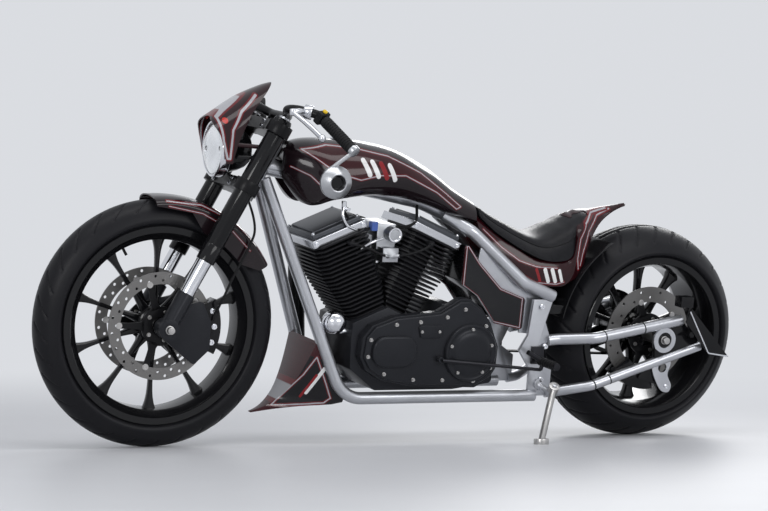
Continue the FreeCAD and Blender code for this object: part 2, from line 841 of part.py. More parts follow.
def axle_plates():
    """The plates between the arms' rear ends that hold the rear axle."""
    rear = rear_axle_centre
    low = arm_end_y - plate_thickness / 2
    outline = [(rear.x + 40, rear.z + 44), (rear.x - 60, rear.z + 60), (rear.x - 132, rear.z - 18),
               (rear.x - 60, rear.z - 44), (rear.x + 26, rear.z - 62)]
    web = plate(outline, low, low + plate_thickness)
    eye = cross_bar(rear.x, rear.z, low - axle_eye_step, low + plate_thickness + axle_eye_step, 34)
    hole = cross_bar(rear.x, rear.z, low - 20, low + 40, rear_axle_radius)
    arms = [tube(upper_arm_points(), upper_arm_radius, arm_bend),
            tube(lower_arm_points(), lower_arm_radius, arm_bend)]
    return both_sides(web.fuse(eye).cut(Part.makeCompound(arms + [hole])))


def rear_axle():
    reach = rear_axle_reach
    shaft = cross_bar(0, 0, -reach, reach, rear_axle_radius)
    inner = arm_end_y - plate_thickness / 2 - axle_eye_step
    disc_side = rear_disc_y + disc_thickness / 2 + running_gap
    belt_side = pulley_y() + pulley_width / 2 + running_gap
    spacers = [cross_bar(0, 0, disc_side, inner, 20), cross_bar(0, 0, -inner, -belt_side, 20)]
    ends = cross_bar(0, 0, -reach - axle_end_length, reach + axle_end_length, axle_end_radius)
    return at_rear(shaft.multiFuse(spacers + [ends]))


tank_stations = (
    # x, ridge height, crease half width, crease height, lower edge height
    (452.0, 868.0, 46.0, 822.0, 776.0),
    (380.0, 886.0, 112.0, 792.0, 704.0),
    (300.0, 888.0, 128.0, 764.0, 720.0),
    (200.0, 883.0, 129.0, 784.0, 734.0),
    (90.0, 852.0, 118.0, 781.0, 730.0),
    (-20.0, 797.0, 95.0, 732.0, 704.0),
    (-110.0, 742.0, 72.0, 688.0, 674.0),
    (-182.0, 710.0, 56.0, 664.0, 656.0),
)


def tank_ring(x, ridge, half, crease, low):
    """A tank section: arched top, creased flank and a tucked-in underside."""
    top = []
    for turn in range(0, 181, 20):
        across, up = math.cos(math.radians(turn)), math.sin(math.radians(turn))
        top.append(V(x, half * across, crease + (ridge - crease) * up ** 0.85))
    return top + [V(x, -half * 0.55, low), V(x, half * 0.55, low)]


def fuel_tank():
    """The tank with its tunnel over the backbone and reliefs for the neck and the seat rails."""
    body = skinned([tank_ring(*row) for row in eased(tank_stations, 2)])
    room = backbone_radius + 4
    path = backbone_points()
    ahead = path[0] + (path[0] - path[1]) * 0.3
    behind = path[3] + (path[3] - path[2]) * 2
    below = 560.0
    over = [(p.x, p.z + room) for p in [ahead] + path + [behind]]
    tunnel = plate([(ahead.x, below)] + over + [(behind.x, below)], -room, room)
    notch = rod(neck_foot - steering_axis() * 60, neck_head + steering_axis() * 90, neck_radius + 8)
    left = tube(seat_rail_points()[:3], seat_rail_radius + 3, 60)
    body = body.cut(Part.makeCompound([tunnel, notch])).cut(left).cut(mirrored(left))
    for turn in (-steer_lock, 0, steer_lock):
        body = body.cut(yoke_room(turn))
    return body


def saddle_form(grow):
    """The saddle's closed form, or the same form grown for the room that it needs."""
    rings = []
    front, back = saddle_stations[0][0], saddle_stations[-1][0]
    for x, top, half, low in eased(saddle_stations, 2):
        x += grow * ((x == front) - (x == back))
        top, half, low = top + grow, half + grow, low - grow
        shares = ((-1, 0), (-0.92, 0.55), (-0.6, 0.86), (0, 1), (0.6, 0.86), (0.92, 0.55), (1, 0))
        rings.append([V(x, half * across, low + (top - low) * up) for across, up in shares])
    return skinned(rings)


saddle_stations = (
    # x, top height, half width, lower height
    (-196.0, 700.0, 46.0, 676.0),
    (-260.0, 671.0, 70.0, 622.0),
    (-380.0, 629.0, 108.0, 560.0),
    (-470.0, 657.0, 112.0, 556.0),
    (-540.0, 690.0, 100.0, 600.0),
    (-572.0, 692.0, 84.0, 640.0),
)


def seat():
    return saddle_form(0)


def tail_cowl():
    """The body under and behind the saddle, with its upswept tail."""
    rear = rear_axle_centre
    side_view = [(-196, 690), (-262, 616), (-380, 552), (-470, 548), (-508, 590), (-545, 690), (-585, 700),
                 (-724, 716), (-672, 690), (-600, 600), (-480, 470), (-440, 478), (-370, 482), (-315, 510),
                 (-258, 560), (-188, 640)]
    slab = plate(side_view, -112, 112)
    plan = [V(-180, -62, 400), V(-420, -112, 400), (V(-560, -112, 400)), V(-650, -70, 400), V(-726, -8, 400),
            V(-726, 8, 400), V(-650, 70, 400), V(-560, 112, 400), V(-420, 112, 400), V(-180, 62, 400)]
    pillar = Part.Face(Part.makePolygon(plan + plan[:1])).extrude(V(0, 0, 400))
    wheel_room = cross_bar(rear.x, rear.z, -150, 150, rear_tyre_radius + 20)
    rails = seat_rail()
    cowl = slab.common(pillar).cut(wheel_room).cut(saddle_form(soft_gap))
    return cowl.cut(rails).cut(mirrored(rails))


def rear_fender():
    """The inner fender that hugs the rear tyre behind the engine."""
    gap, wall, half = 9.0, 4.0, rear_tyre_half_width + 3
    radius = rear_tyre_radius + gap
    strip = spun([(-half, radius), (half, radius), (half, radius + wall), (-half, radius + wall)], 10, 48)
    inside = cross_bar(0, 0, -half, half, radius)
    outer = cradle_half_width - plate_thickness / 2
    tab = plate([(330, 68), (394, 68), (394, 94), (316, 94)], outer - 10, outer).cut(inside)
    return at_rear(strip.multiFuse([tab, mirrored(tab)]))


def side_panels():
    outline = [(-128, 612), (-180, 548), (-262, 470), (-346, 440), (-344, 346), (-246, 366), (-222, 396),
               (-180, 448), (-126, 482)]
    low = 92.0
    return both_sides(plate(outline, low, low + 8, 6))


def oil_tank():
    outline = [(-138, 596), (-180, 540), (-262, 462), (-338, 432), (-336, 360), (-256, 378), (-190, 452),
               (-140, 486)]
    return plate(outline, -92, 92)


def chin_spoiler():
    """The wedge ahead of the cradle: two painted cheeks with a nose between."""
    outline = [(472, 100), (398, 176), (352, 236), (322, 312), (286, 300), (262, 236), (240, 190),
               (226, 130), (300, 124)]
    left = plate(outline, 60, 108)
    centre = plate([(452, 112), (398, 170), (352, 228), (330, 232), (300, 150), (300, 128)], -60, 60)
    lump = left.cut(rod(*downtube_points(), downtube_radius)).cut(lower_rail())
    return lump.fuse(mirrored(lump)).fuse(centre)


def cylinder_place(side):
    """Placement of one cylinder: Z along its axis from the crank."""
    lean = side * vee_angle / 2
    return FreeCAD.Placement(V(crank_x, 0, crank_z), FreeCAD.Rotation(Y_AXIS, lean))


def cylinder(side):
    """A finned barrel and head: a core and fins that widen towards the head."""
    half_core = barrel_radius * 0.92
    core = fin(half_core, half_core, half_core, barrel_base, barrel_top + fin_thickness - barrel_base)
    count = int((barrel_top - barrel_base) / fin_pitch)
    fins = []
    for index in range(count + 1):
        share = min(1.0, 1.6 * index / count)
        half = fin_half_width_base + (fin_half_width_top - fin_half_width_base) * share
        low = barrel_top - (count - index) * fin_pitch
        outer, inner = (half, min(half, fin_inner_reach)) if side > 0 else (min(half, fin_inner_reach), half)
        fins.append(fin(inner, outer, fin_half_depth, low, fin_thickness))
    cap = rod(V(0, barrel_radius, plug_height), V(0, plug_reach, plug_height), 9)
    shape = core.multiFuse(fins + [cap])
    shape.Placement = cylinder_place(side)
    shape = shape.fuse(ferrule(lead_points(side)[::-1], lead_radius))
    reach, valley = 900.0, 4.0
    start = crank_x + valley if side > 0 else crank_x - valley - reach
    return shape.common(box(V(start, -reach, 0), V(start + reach, reach, reach)))


def fin(back, front, half_y, low, thickness):
    """One fin with cut corners."""
    cut = 20.0
    points = [V(front, cut - half_y, low), V(front, half_y - cut, low), V(front - cut, half_y, low),
              V(cut - back, half_y, low), V(-back, half_y - cut, low), V(-back, cut - half_y, low),
              V(cut - back, -half_y, low), V(front - cut, -half_y, low)]
    return Part.Face(Part.makePolygon(points + points[:1])).extrude(V(0, 0, thickness))


def cylinders():
    return Part.makeCompound([cylinder(1), cylinder(-1)])


def plug_tip(side):
    """The outer end of a cylinder's plug cap, in the middle of the head's left face."""
    return cylinder_place(side).multVec(V(0, plug_reach, plug_height))


def rocker_box(side):
    """A bright base with a dark stepped lid."""
    outer, inner = rocker_outer_reach, fin_inner_reach
    front, back = (outer, inner) if side > 0 else (inner, outer)
    low = barrel_top + fin_thickness
    right = pushrod_y + pushrod_radius + 3
    base = box(V(-back, -right, low), V(front, rocker_half_depth, low + rocker_base_height))
    step = 9.0
    lid = box(V(step - back, step - right, low + rocker_base_height),
              V(front - step, rocker_half_depth - step, low + rocker_height))
    shape = base.fuse(lid)
    shape.Placement = cylinder_place(side)
    return shape


def rocker_boxes():
    return Part.makeCompound([rocker_box(1), rocker_box(-1)])


def crankcase():
    """The case halves and gearbox as one block with a flat deck under each barrel."""
    outline = [(crank_x + 108, 236), (crank_x + 112, 330), (crank_x + 104, 430), (crank_x - 104, 430),
               (crank_x - 220, 424), (-196, 395), (-240, 340), (-250, 190), (-120, 172), (140, 172)]
    body = plate(outline, -case_half_width, case_half_width, 14)
    outward, reach = fin_half_width_top + 6, 300.0
    for side in (1, -1):
        back, front = (reach, outward) if side > 0 else (outward, reach)
        deck = box(V(-back, -reach, barrel_base), V(front, reach, barrel_base + reach))
        deck.Placement = cylinder_place(side)
        body = body.cut(deck)
    return body.fuse(sprocket())


def primary_cover():
    """The left cover over the primary drive, with its two raised domes."""
    outline = [(212, 276), (206, 336), (180, 368), (107, 394), (-38, 408), (-103, 446), (-134, 446),
               (-176, 419), (-210, 375), (-242, 304), (-240, 240), (-218, 206), (-173, 183), (41, 190),
               (140, 208), (190, 238)]
    low = case_half_width
    body = plate(outline, low, low + primary_depth, 12)
    front_bump = plate([(40, 250), (40, 340), (182, 340), (182, 250)], low + primary_depth,
                       low + primary_depth + 14, 26)
    clutch = Part.makeCylinder(86, 12, V(-143, low + primary_depth, 289), Y_AXIS)
    pivot = cross_bar(-40, 271, low + primary_depth, shift_rod_y - 5 - running_gap, 9)
    return body.multiFuse([front_bump, clutch, pivot])


def cam_cover():
    """The right cover over the cam gears and the belt sprocket."""
    outline = [(206, 270), (196, 340), (150, 376), (40, 392), (-60, 372), (-90, 330), (-90, 240),
               (-30, 196), (120, 190)]
    low = -case_half_width - 34
    body = plate(outline, low, -case_half_width, 12)
    return body


def sprocket():
    """The belt's front sprocket on the gearbox output."""
    outer = -pulley_y() - pulley_width / 2
    return cross_bar(sprocket_x, sprocket_z, outer, -case_half_width, sprocket_radius)


def pushrod_tubes():
    """Four tubes from the crankcase deck up to the rocker boxes, on the right."""
    tubes = []
    for side in (1, -1):
        place = cylinder_place(side)
        for spread in (16, 44):
            start = place.multVec(V(-side * spread, -pushrod_y, barrel_base))
            end = place.multVec(V(-side * spread, -pushrod_y, barrel_top + fin_thickness))
            tubes.append(rod(start, end, pushrod_radius))
    return Part.makeCompound(tubes)


carburettor_z = 616.0
coil_half, coil_low, coil_face = 25.0, 546.0, 96.0


def carburettor():
    """The body between the heads, with its neck to the air cleaner on the right."""
    centre = V(crank_x, 0, carburettor_z)
    body = box(centre + V(-30, -64, -38), centre + V(30, 60, 34))
    corners = []
    for side, heights in ((1, (262, 322)), (-1, (322, 262))):
        place = cylinder_place(side)
        corners += [place.multVec(V(-side * fin_inner_reach, 0, height)) for height in heights]
    manifold = plate([(corner.x, corner.z) for corner in corners], -30, 30)
    neck = cross_bar(centre.x, centre.z, -air_cleaner_y, -60, 24)
    knob = cross_bar(centre.x - 12, centre.z + 8, 60, 92, 22)
    coil = box(V(centre.x - coil_half, 40, coil_low), V(centre.x + coil_half, coil_face, centre.z - 30))
    outlets = [ferrule(lead_points(side), lead_radius) for side in (1, -1)]
    return body.multiFuse([neck, knob, manifold, coil] + outlets)


def lead_points(side):
    """A plug lead's way from the coil's outer face to one plug cap."""
    outward, homeward = V(side * 0.8, 0.55, 0.2), V(-side * 0.7, 0.7, -0.15)
    start = V(crank_x + side * 24, coil_face + 10, coil_low + 20)
    end = plug_tip(side) + homeward * 16
    return [start, start + outward * 30, end + homeward * 34, end]


def plug_leads():
    return Part.makeCompound([cord(lead_points(side), lead_radius) for side in (1, -1)])


air_cleaner_y = 118.0


def air_cleaner():
    return cross_bar(crank_x, carburettor_z, -air_cleaner_y - 44, -air_cleaner_y, 78)


def exhaust_pipes():
    """Two short pipes from the heads down the right side."""
    pipes = []
    for side, low, end in ((1, 206, -330), (-1, 260, -318)):
        port = cylinder_place(side).multVec(V(side * 67, -fin_half_depth, 316))
        turn = V(port.x, -150, port.z)
        knee = V(port.x - 48, -178, low)
        pipes.append(tube([port, turn, knee, V(end, -194, low - 4)], 24, 50))
    return Part.makeCompound(pipes)


def horn():
    """A ball on a short bar ahead of the crankcase."""
    centre = V(276, 84, 369)
    bar_z = centre.z - 26
    turns = [math.radians(turn) for turn in (-80, -60, -36, -12, 12, 36, 60, 80)]
    ball = moved(turned([(36 * math.sin(turn), 36 * math.cos(turn)) for turn in turns], 24), centre)
    return ball.fuse(rod(V(centre.x, centre.y, bar_z), V(crank_x + 112, centre.y, bar_z), 9))


def foot_controls():
    """A peg and a pedal on each side, carried by the pivot plates."""
    low = cradle_half_width + plate_thickness / 2
    peg = cross_bar(-386, 262, low, low + 128, 11)
    arm = plate([(-410, 300), (-370, 300), (-370, 248), (-410, 248)], low, low + 10)
    pedal = rod(V(-386, low + 44, 262), V(-330, low + 50, 292), 7)
    half = arm.multiFuse([peg, pedal])
    ahead, behind = V(-40, shift_rod_y, 271), V(-374, shift_rod_y, 240)
    lever = rod(V(-386, low + 50, 262), behind, 6)
    return Part.makeCompound([half.multiFuse([rod(ahead, behind, 5), lever]), mirrored(half)])


def stand_axis():
    """The side stand's hinge direction, square to the leg down and to the leg stowed."""
    return (stand_foot - stand_pivot).cross(stand_stowed).normalize()


def stand_bracket():
    """The lug on the left pivot plate and the pin that the side stand turns on."""
    axis = stand_axis()
    seat_face = stand_pivot - axis * (stand_eye_half + running_gap)
    disc = rod(seat_face, seat_face - axis * 16, 16)
    pin = rod(seat_face, stand_pivot + axis * (stand_eye_half + 4), stand_pin_radius)
    root = V(-402, cradle_half_width + plate_thickness / 2, 187)
    arm = rod(root, seat_face - axis * 12, 8)
    foot = cross_bar(root.x, root.z, root.y, root.y + 10, 15)
    inside = box(V(-600, 0, 0), V(0, root.y, 500))
    return disc.multiFuse([pin, arm, foot]).cut(inside)


def stand_leg():
    """The side stand: an eye on its pin, a leg and a foot on the floor."""
    axis = stand_axis()
    eye = rod(stand_pivot - axis * stand_eye_half, stand_pivot + axis * stand_eye_half, 16)
    up = lean_turn().inverted().multVec(V(0, 0, 1))
    leg = rod(stand_pivot, stand_foot + up * 8, stand_leg_radius)
    bore = rod(stand_pivot - axis * 20, stand_pivot + axis * 20, stand_pin_radius + axle_fit)
    toe = rod(stand_foot, stand_foot + up * 16, 22)
    return eye.multiFuse([leg, toe]).cut(bore)


def plate_bracket():
    """The side bracket outside the left axle plate with a blank plate and the tail lamp."""
    rear = rear_axle_centre
    low = arm_end_y + 30
    outline = [(rear.x - 72, rear.z + 100), (rear.x - 54, rear.z + 60), (rear.x - 146, rear.z - 40),
               (rear.x - 222, rear.z - 48)]
    board = plate(outline, low, low + 4)
    arm = cross_bar(rear.x - 84, rear.z + 20, arm_end_y + plate_thickness / 2, low, 9)
    lamp = box(V(rear.x - 74, low - 30, rear.z + 104), V(rear.x - 30, low + 6, rear.z + 136))
    stay = box(V(rear.x - 74, low - 6, rear.z + 70), V(rear.x - 62, low, rear.z + 110))
    return board.multiFuse([arm, lamp, stay])


def rear_calliper():
    """The rear calliper on its bracket below the left axle plate."""
    body = calliper(rear_disc_radius, rear_disc_y, 262, 56)
    low = rear_disc_y + calliper_half
    arm = plate([(-54, -10), (-26, -20), (40, -130), (-30, -150)], low, low + 12, 6)
    stay = cross_bar(-38, -22, low + 12, arm_end_y - plate_thickness / 2, 9)
    return at_rear(body.multiFuse([arm, stay]))


frame_nodes = {
    "steering_neck": steering_neck, "downtubes": downtubes, "lower_rails": lower_rails,
    "seat_rails": seat_rails, "pivot_plates": pivot_plates, "upper_arms": upper_arms,
    "lower_arms": lower_arms, "axle_plates": axle_plates, "rear_axle": rear_axle,
    "fuel_tank": fuel_tank, "seat": seat, "tail_cowl": tail_cowl, "rear_fender": rear_fender,
    "side_panels": side_panels, "oil_tank": oil_tank, "chin_spoiler": chin_spoiler,
    "crankcase": crankcase, "cylinders": cylinders, "rocker_boxes": rocker_boxes,
    "primary_cover": primary_cover, "cam_cover": cam_cover,
    "pushrod_tubes": pushrod_tubes, "carburettor": carburettor, "air_cleaner": air_cleaner,
    "exhaust_pipes": exhaust_pipes, "horn": horn, "foot_controls": foot_controls,
    "plug_leads": plug_leads, "plate_bracket": plate_bracket, "drive_belt": drive_belt,
    "rear_calliper": rear_calliper,
}
fork_nodes = {
    "yokes": yokes, "fork_tubes": fork_tubes, "stanchions": stanchions, "fork_feet": fork_feet,
    "front_axle": front_axle, "front_fender": front_fender, "headlight": headlight, "fairing": fairing,
    "handlebar": handlebar, "levers": levers, "mirror": mirror, "front_callipers": front_callipers,
    "brake_hose": brake_hose,
}
front_wheel_nodes = {"front_tyre": front_tyre, "front_rim": front_rim, "front_discs": front_discs}
rear_wheel_nodes = {"rear_tyre": rear_tyre, "rear_rim": rear_rim, "rear_disc": rear_disc,
                    "rear_pulley": rear_pulley}
stand_nodes = {"stand_leg": stand_leg}


def build():
    """Every node in the bike frame, turned and leaned as the bike parks."""
    steer = FreeCAD.Placement(V(), FreeCAD.Rotation(steering_axis(), rest_steer_angle), neck_foot)
    lean = FreeCAD.Placement(V(), lean_turn())
    shapes = {}
    for nodes, turn in ((frame_nodes, None), (fork_nodes, steer), (front_wheel_nodes, steer),
                        (rear_wheel_nodes, None), (stand_nodes, None)):
        for name, make in nodes.items():
            shape = make()
            if turn is not None:
                shape.Placement = turn.multiply(shape.Placement)
            shape.Placement = lean.multiply(shape.Placement)
            shapes[name] = shape
    return shapes


def park(shapes):
    """Move every node so that the origin is under the middle of the whole box."""
    whole = Part.makeCompound(list(shapes.values())).optimalBoundingBox(False, False)
    shift = V(-(whole.XMin + whole.XMax) / 2, -(whole.YMin + whole.YMax) / 2, -whole.ZMin)
    return {name: moved(shape, shift) for name, shape in shapes.items()}, shift


def main():
    os.makedirs("parts", exist_ok=True)
    shapes, _ = park(build())
    for name, shape in shapes.items():
        shape.exportStep(os.path.join("parts", name + ".step"))


if __name__ == "__main__":
    main()
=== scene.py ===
"""The looks of a long, low chopper that leans on its side stand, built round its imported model.

Shapes are drawn on the upright machine in millimetres: X forward, Y to the rider's left, Z up,
with the floor at zero. Stance turns them into the leaned, parked machine in metres.
"""

import json
import logging
import math
from dataclasses import dataclass, field, replace
from enum import Enum
from math import cos, pi, radians, sin, tau
from typing import Callable, Sequence

import bmesh
import bpy
from bpy.types import Mesh, Node, NodeSocket, NodeTree, Object
from mathutils import Matrix, Vector


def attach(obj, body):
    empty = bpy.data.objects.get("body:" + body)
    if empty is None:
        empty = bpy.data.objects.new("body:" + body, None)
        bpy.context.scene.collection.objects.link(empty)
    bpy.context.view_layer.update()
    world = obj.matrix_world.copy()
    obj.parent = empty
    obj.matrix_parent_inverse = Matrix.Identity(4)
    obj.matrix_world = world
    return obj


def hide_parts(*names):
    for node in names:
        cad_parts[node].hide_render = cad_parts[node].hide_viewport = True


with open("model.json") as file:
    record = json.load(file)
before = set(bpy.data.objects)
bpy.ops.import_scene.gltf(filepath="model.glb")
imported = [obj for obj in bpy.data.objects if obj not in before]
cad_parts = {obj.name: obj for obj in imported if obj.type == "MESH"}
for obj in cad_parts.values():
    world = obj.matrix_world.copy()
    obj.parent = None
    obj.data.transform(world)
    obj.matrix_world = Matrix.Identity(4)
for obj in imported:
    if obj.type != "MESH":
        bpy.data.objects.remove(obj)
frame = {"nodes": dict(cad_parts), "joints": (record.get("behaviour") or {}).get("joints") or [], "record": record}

LOG = logging.getLogger("chopper")
MM = 0.001
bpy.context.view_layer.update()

Triple = tuple[float, float, float]
Pair = tuple[float, float]
Points = Sequence[Sequence[float]]


class Body(Enum):
    """The bodies that a piece can ride on."""

    FRAME = "frame"
    FORK = "fork"
    FRONT_WHEEL = "front_wheel"
    REAR_WHEEL = "rear_wheel"
    STAND = "stand"


NECK_FOOT = (0.538, 0.0, 0.745)


@dataclass(frozen=True)
class Stance:
    """Turns the upright machine into the parked one.

    Attributes:
        lean: the lean about the X axis.
        shift: where the upright machine's origin lands, in metres.
        parked_turn: the steering turn of the parked fork about the steering axis.
        neck: foot of the steering axis, upright, in metres.
        axis: direction of the steering axis, upright.
    """

    lean: Matrix
    shift: Vector
    parked_turn: float
    neck: Vector
    axis: Vector

    @classmethod
    def from_joints(cls, joints: Sequence[dict]) -> "Stance":
        """Read the stance from the model's joints.

        Args:
            joints: the frame's joints.

        Returns:
            The stance.
        """
        by_name = {joint["name"]: joint for joint in joints}
        axle = Vector(by_name["rear_wheel_spin"]["axis"])
        lean = Matrix.Rotation(-math.atan2(-axle.z, axle.y), 4, "X")
        upright = lean.inverted()
        neck = Vector(NECK_FOOT)
        steering = by_name["steering"]
        axis = (upright @ Vector(steering["axis"])).normalized()
        across = (upright @ Vector(by_name["front_wheel_spin"]["axis"])).normalized()
        straight = Vector((0.0, 1.0, 0.0))
        turn = math.atan2(axis.dot(straight.cross(across)), straight.dot(across))
        shift = Vector(steering["pos_m"]) - lean @ neck
        return cls(lean, shift, turn, neck, axis)

    def upright_to_row(self) -> Matrix:
        """The matrix from upright millimetres to the parked machine in metres."""
        return Matrix.Translation(self.shift) @ self.lean @ Matrix.Scale(MM, 4)

    def fork_to_row(self) -> Matrix:
        """Turn what is drawn with straight steering as the parked fork is turned.

        Returns:
            The matrix from upright millimetres to row metres.
        """
        turn = Matrix.Rotation(self.parked_turn, 4, self.axis)
        steer = Matrix.Translation(self.neck) @ turn @ Matrix.Translation(-self.neck)
        return Matrix.Translation(self.shift) @ self.lean @ steer @ Matrix.Scale(MM, 4)

    def matrix(self, body: Body) -> Matrix:
        """The matrix from upright millimetres to the parked machine in metres for a body's pieces."""
        return self.fork_to_row() if body in (Body.FORK, Body.FRONT_WHEEL) else self.upright_to_row()


STANCE = Stance.from_joints(frame["joints"])


def axle_of(joint: str, body: Body) -> Vector:
    """Where a wheel's centre is on the upright machine, in millimetres, from its joint and body."""
    place = next(j["pos_m"] for j in frame["joints"] if j["name"] == joint)
    return STANCE.matrix(body).inverted() @ Vector(place)


FRONT_AXLE = axle_of("front_wheel_spin", Body.FRONT_WHEEL)
REAR_AXLE = axle_of("rear_wheel_spin", Body.REAR_WHEEL)
RAKE = math.atan2(-STANCE.axis.x, STANCE.axis.z)


def fork_point(ahead: float, across: float, up: float) -> Vector:
    """A point given in fork axes: up the leg from the front axle, on the upright machine."""
    turn = Matrix.Rotation(-RAKE, 3, "Y")
    return FRONT_AXLE + turn @ Vector((ahead, across, up))


class Graph:
    """A node tree with short ways to add nodes, set values and join sockets."""

    def __init__(self, tree: NodeTree) -> None:
        """Keep the tree to write in."""
        self.tree = tree

    def node(self, kind: str, **settings: object) -> Node:
        """Add a node.

        Args:
            kind: the node's type.
            settings: attributes of the node.

        Returns:
            The node.
        """
        node = self.tree.nodes.new(kind)
        for name, value in settings.items():
            setattr(node, name, value)
        return node

    def feed(self, node: Node, **inputs: object) -> Node:
        """Set or join a node's inputs, with underscores for the spaces in their names.

        Args:
            node: the node.
            inputs: a value or an output socket for each input.

        Returns:
            The node.
        """
        for name, value in inputs.items():
            self.join(value, node.inputs[name.replace("_", " ")])
        return node

    def join(self, value: object, socket: NodeSocket) -> None:
        """Join an output to a socket, or set the socket's own value.

        Args:
            value: the output socket or the value.
            socket: the input socket.
        """
        if isinstance(value, NodeSocket):
            self.tree.links.new(value, socket)
        else:
            socket.default_value = value

    def made(self, kind: str, **inputs: object) -> NodeSocket:
        """Add a node, set or join its inputs by name and give its first output."""
        return self.feed(self.node(kind), **inputs).outputs[0]

    def together(self, kind: str, *sockets: NodeSocket, **settings: object) -> NodeSocket:
        """Send several meshes or curves into one node.

        Args:
            kind: the node's type.
            sockets: what goes in, one to an input where it has several.
            settings: attributes of the node.

        Returns:
            The output socket.
        """
        node = self.node(kind, **settings)
        for index, socket in enumerate(sockets):
            self.join(socket, node.inputs[0 if node.inputs[0].is_multi_input else index])
        return node.outputs[0]

    def fed(self, kind: str, operation: str, values: Sequence[object]) -> Node:
        """Add a node with an operation and its inputs in order.

        Args:
            kind: the node's type.
            operation: what it works out.
            values: its inputs.

        Returns:
            The node.
        """
        node = self.node(kind, operation=operation)
        for value, socket in zip(values, node.inputs):
            self.join(value, socket)
        return node

    def maths(self, operation: str, *values: object) -> NodeSocket:
        """A Math node's result for inputs in order."""
        return self.fed("ShaderNodeMath", operation, values).outputs[0]

    def vector(self, operation: str, *values: object, output: int = 0) -> NodeSocket:
        """A Vector Math node's result: output is 0 for the vector and 1 for the number."""
        return self.fed("ShaderNodeVectorMath", operation, values).outputs[output]

    def ramp(self, value: object, low: float, high: float, start: float = 0.0,
             end: float = 1.0) -> NodeSocket:
        """A smooth step of a value between two limits.

        Args:
            value: the value.
            low: where the step starts.
            high: where it ends.
            start: the result below the step.
            end: the result above it.

        Returns:
            The output socket.
        """
        node = self.node("ShaderNodeMapRange", interpolation_type="SMOOTHSTEP")
        for name, number in (("From Min", low), ("From Max", high), ("To Min", start), ("To Max", end)):
            node.inputs[name].default_value = number
        self.join(value, node.inputs["Value"])
        return node.outputs["Result"]

    def mix(self, share: object, first: object, second: object) -> NodeSocket:
        """A mix of two colours.

        Args:
            share: how much of the second.
            first: a colour or socket.
            second: a colour or socket.

        Returns:
            The output socket.
        """
        node = self.node("ShaderNodeMix", data_type="RGBA")
        for value, socket in ((share, node.inputs[0]), (first, node.inputs[6]), (second, node.inputs[7])):
            self.join((*value, 1.0) if isinstance(value, tuple) and len(value) == 3 else value, socket)
        return node.outputs[2]


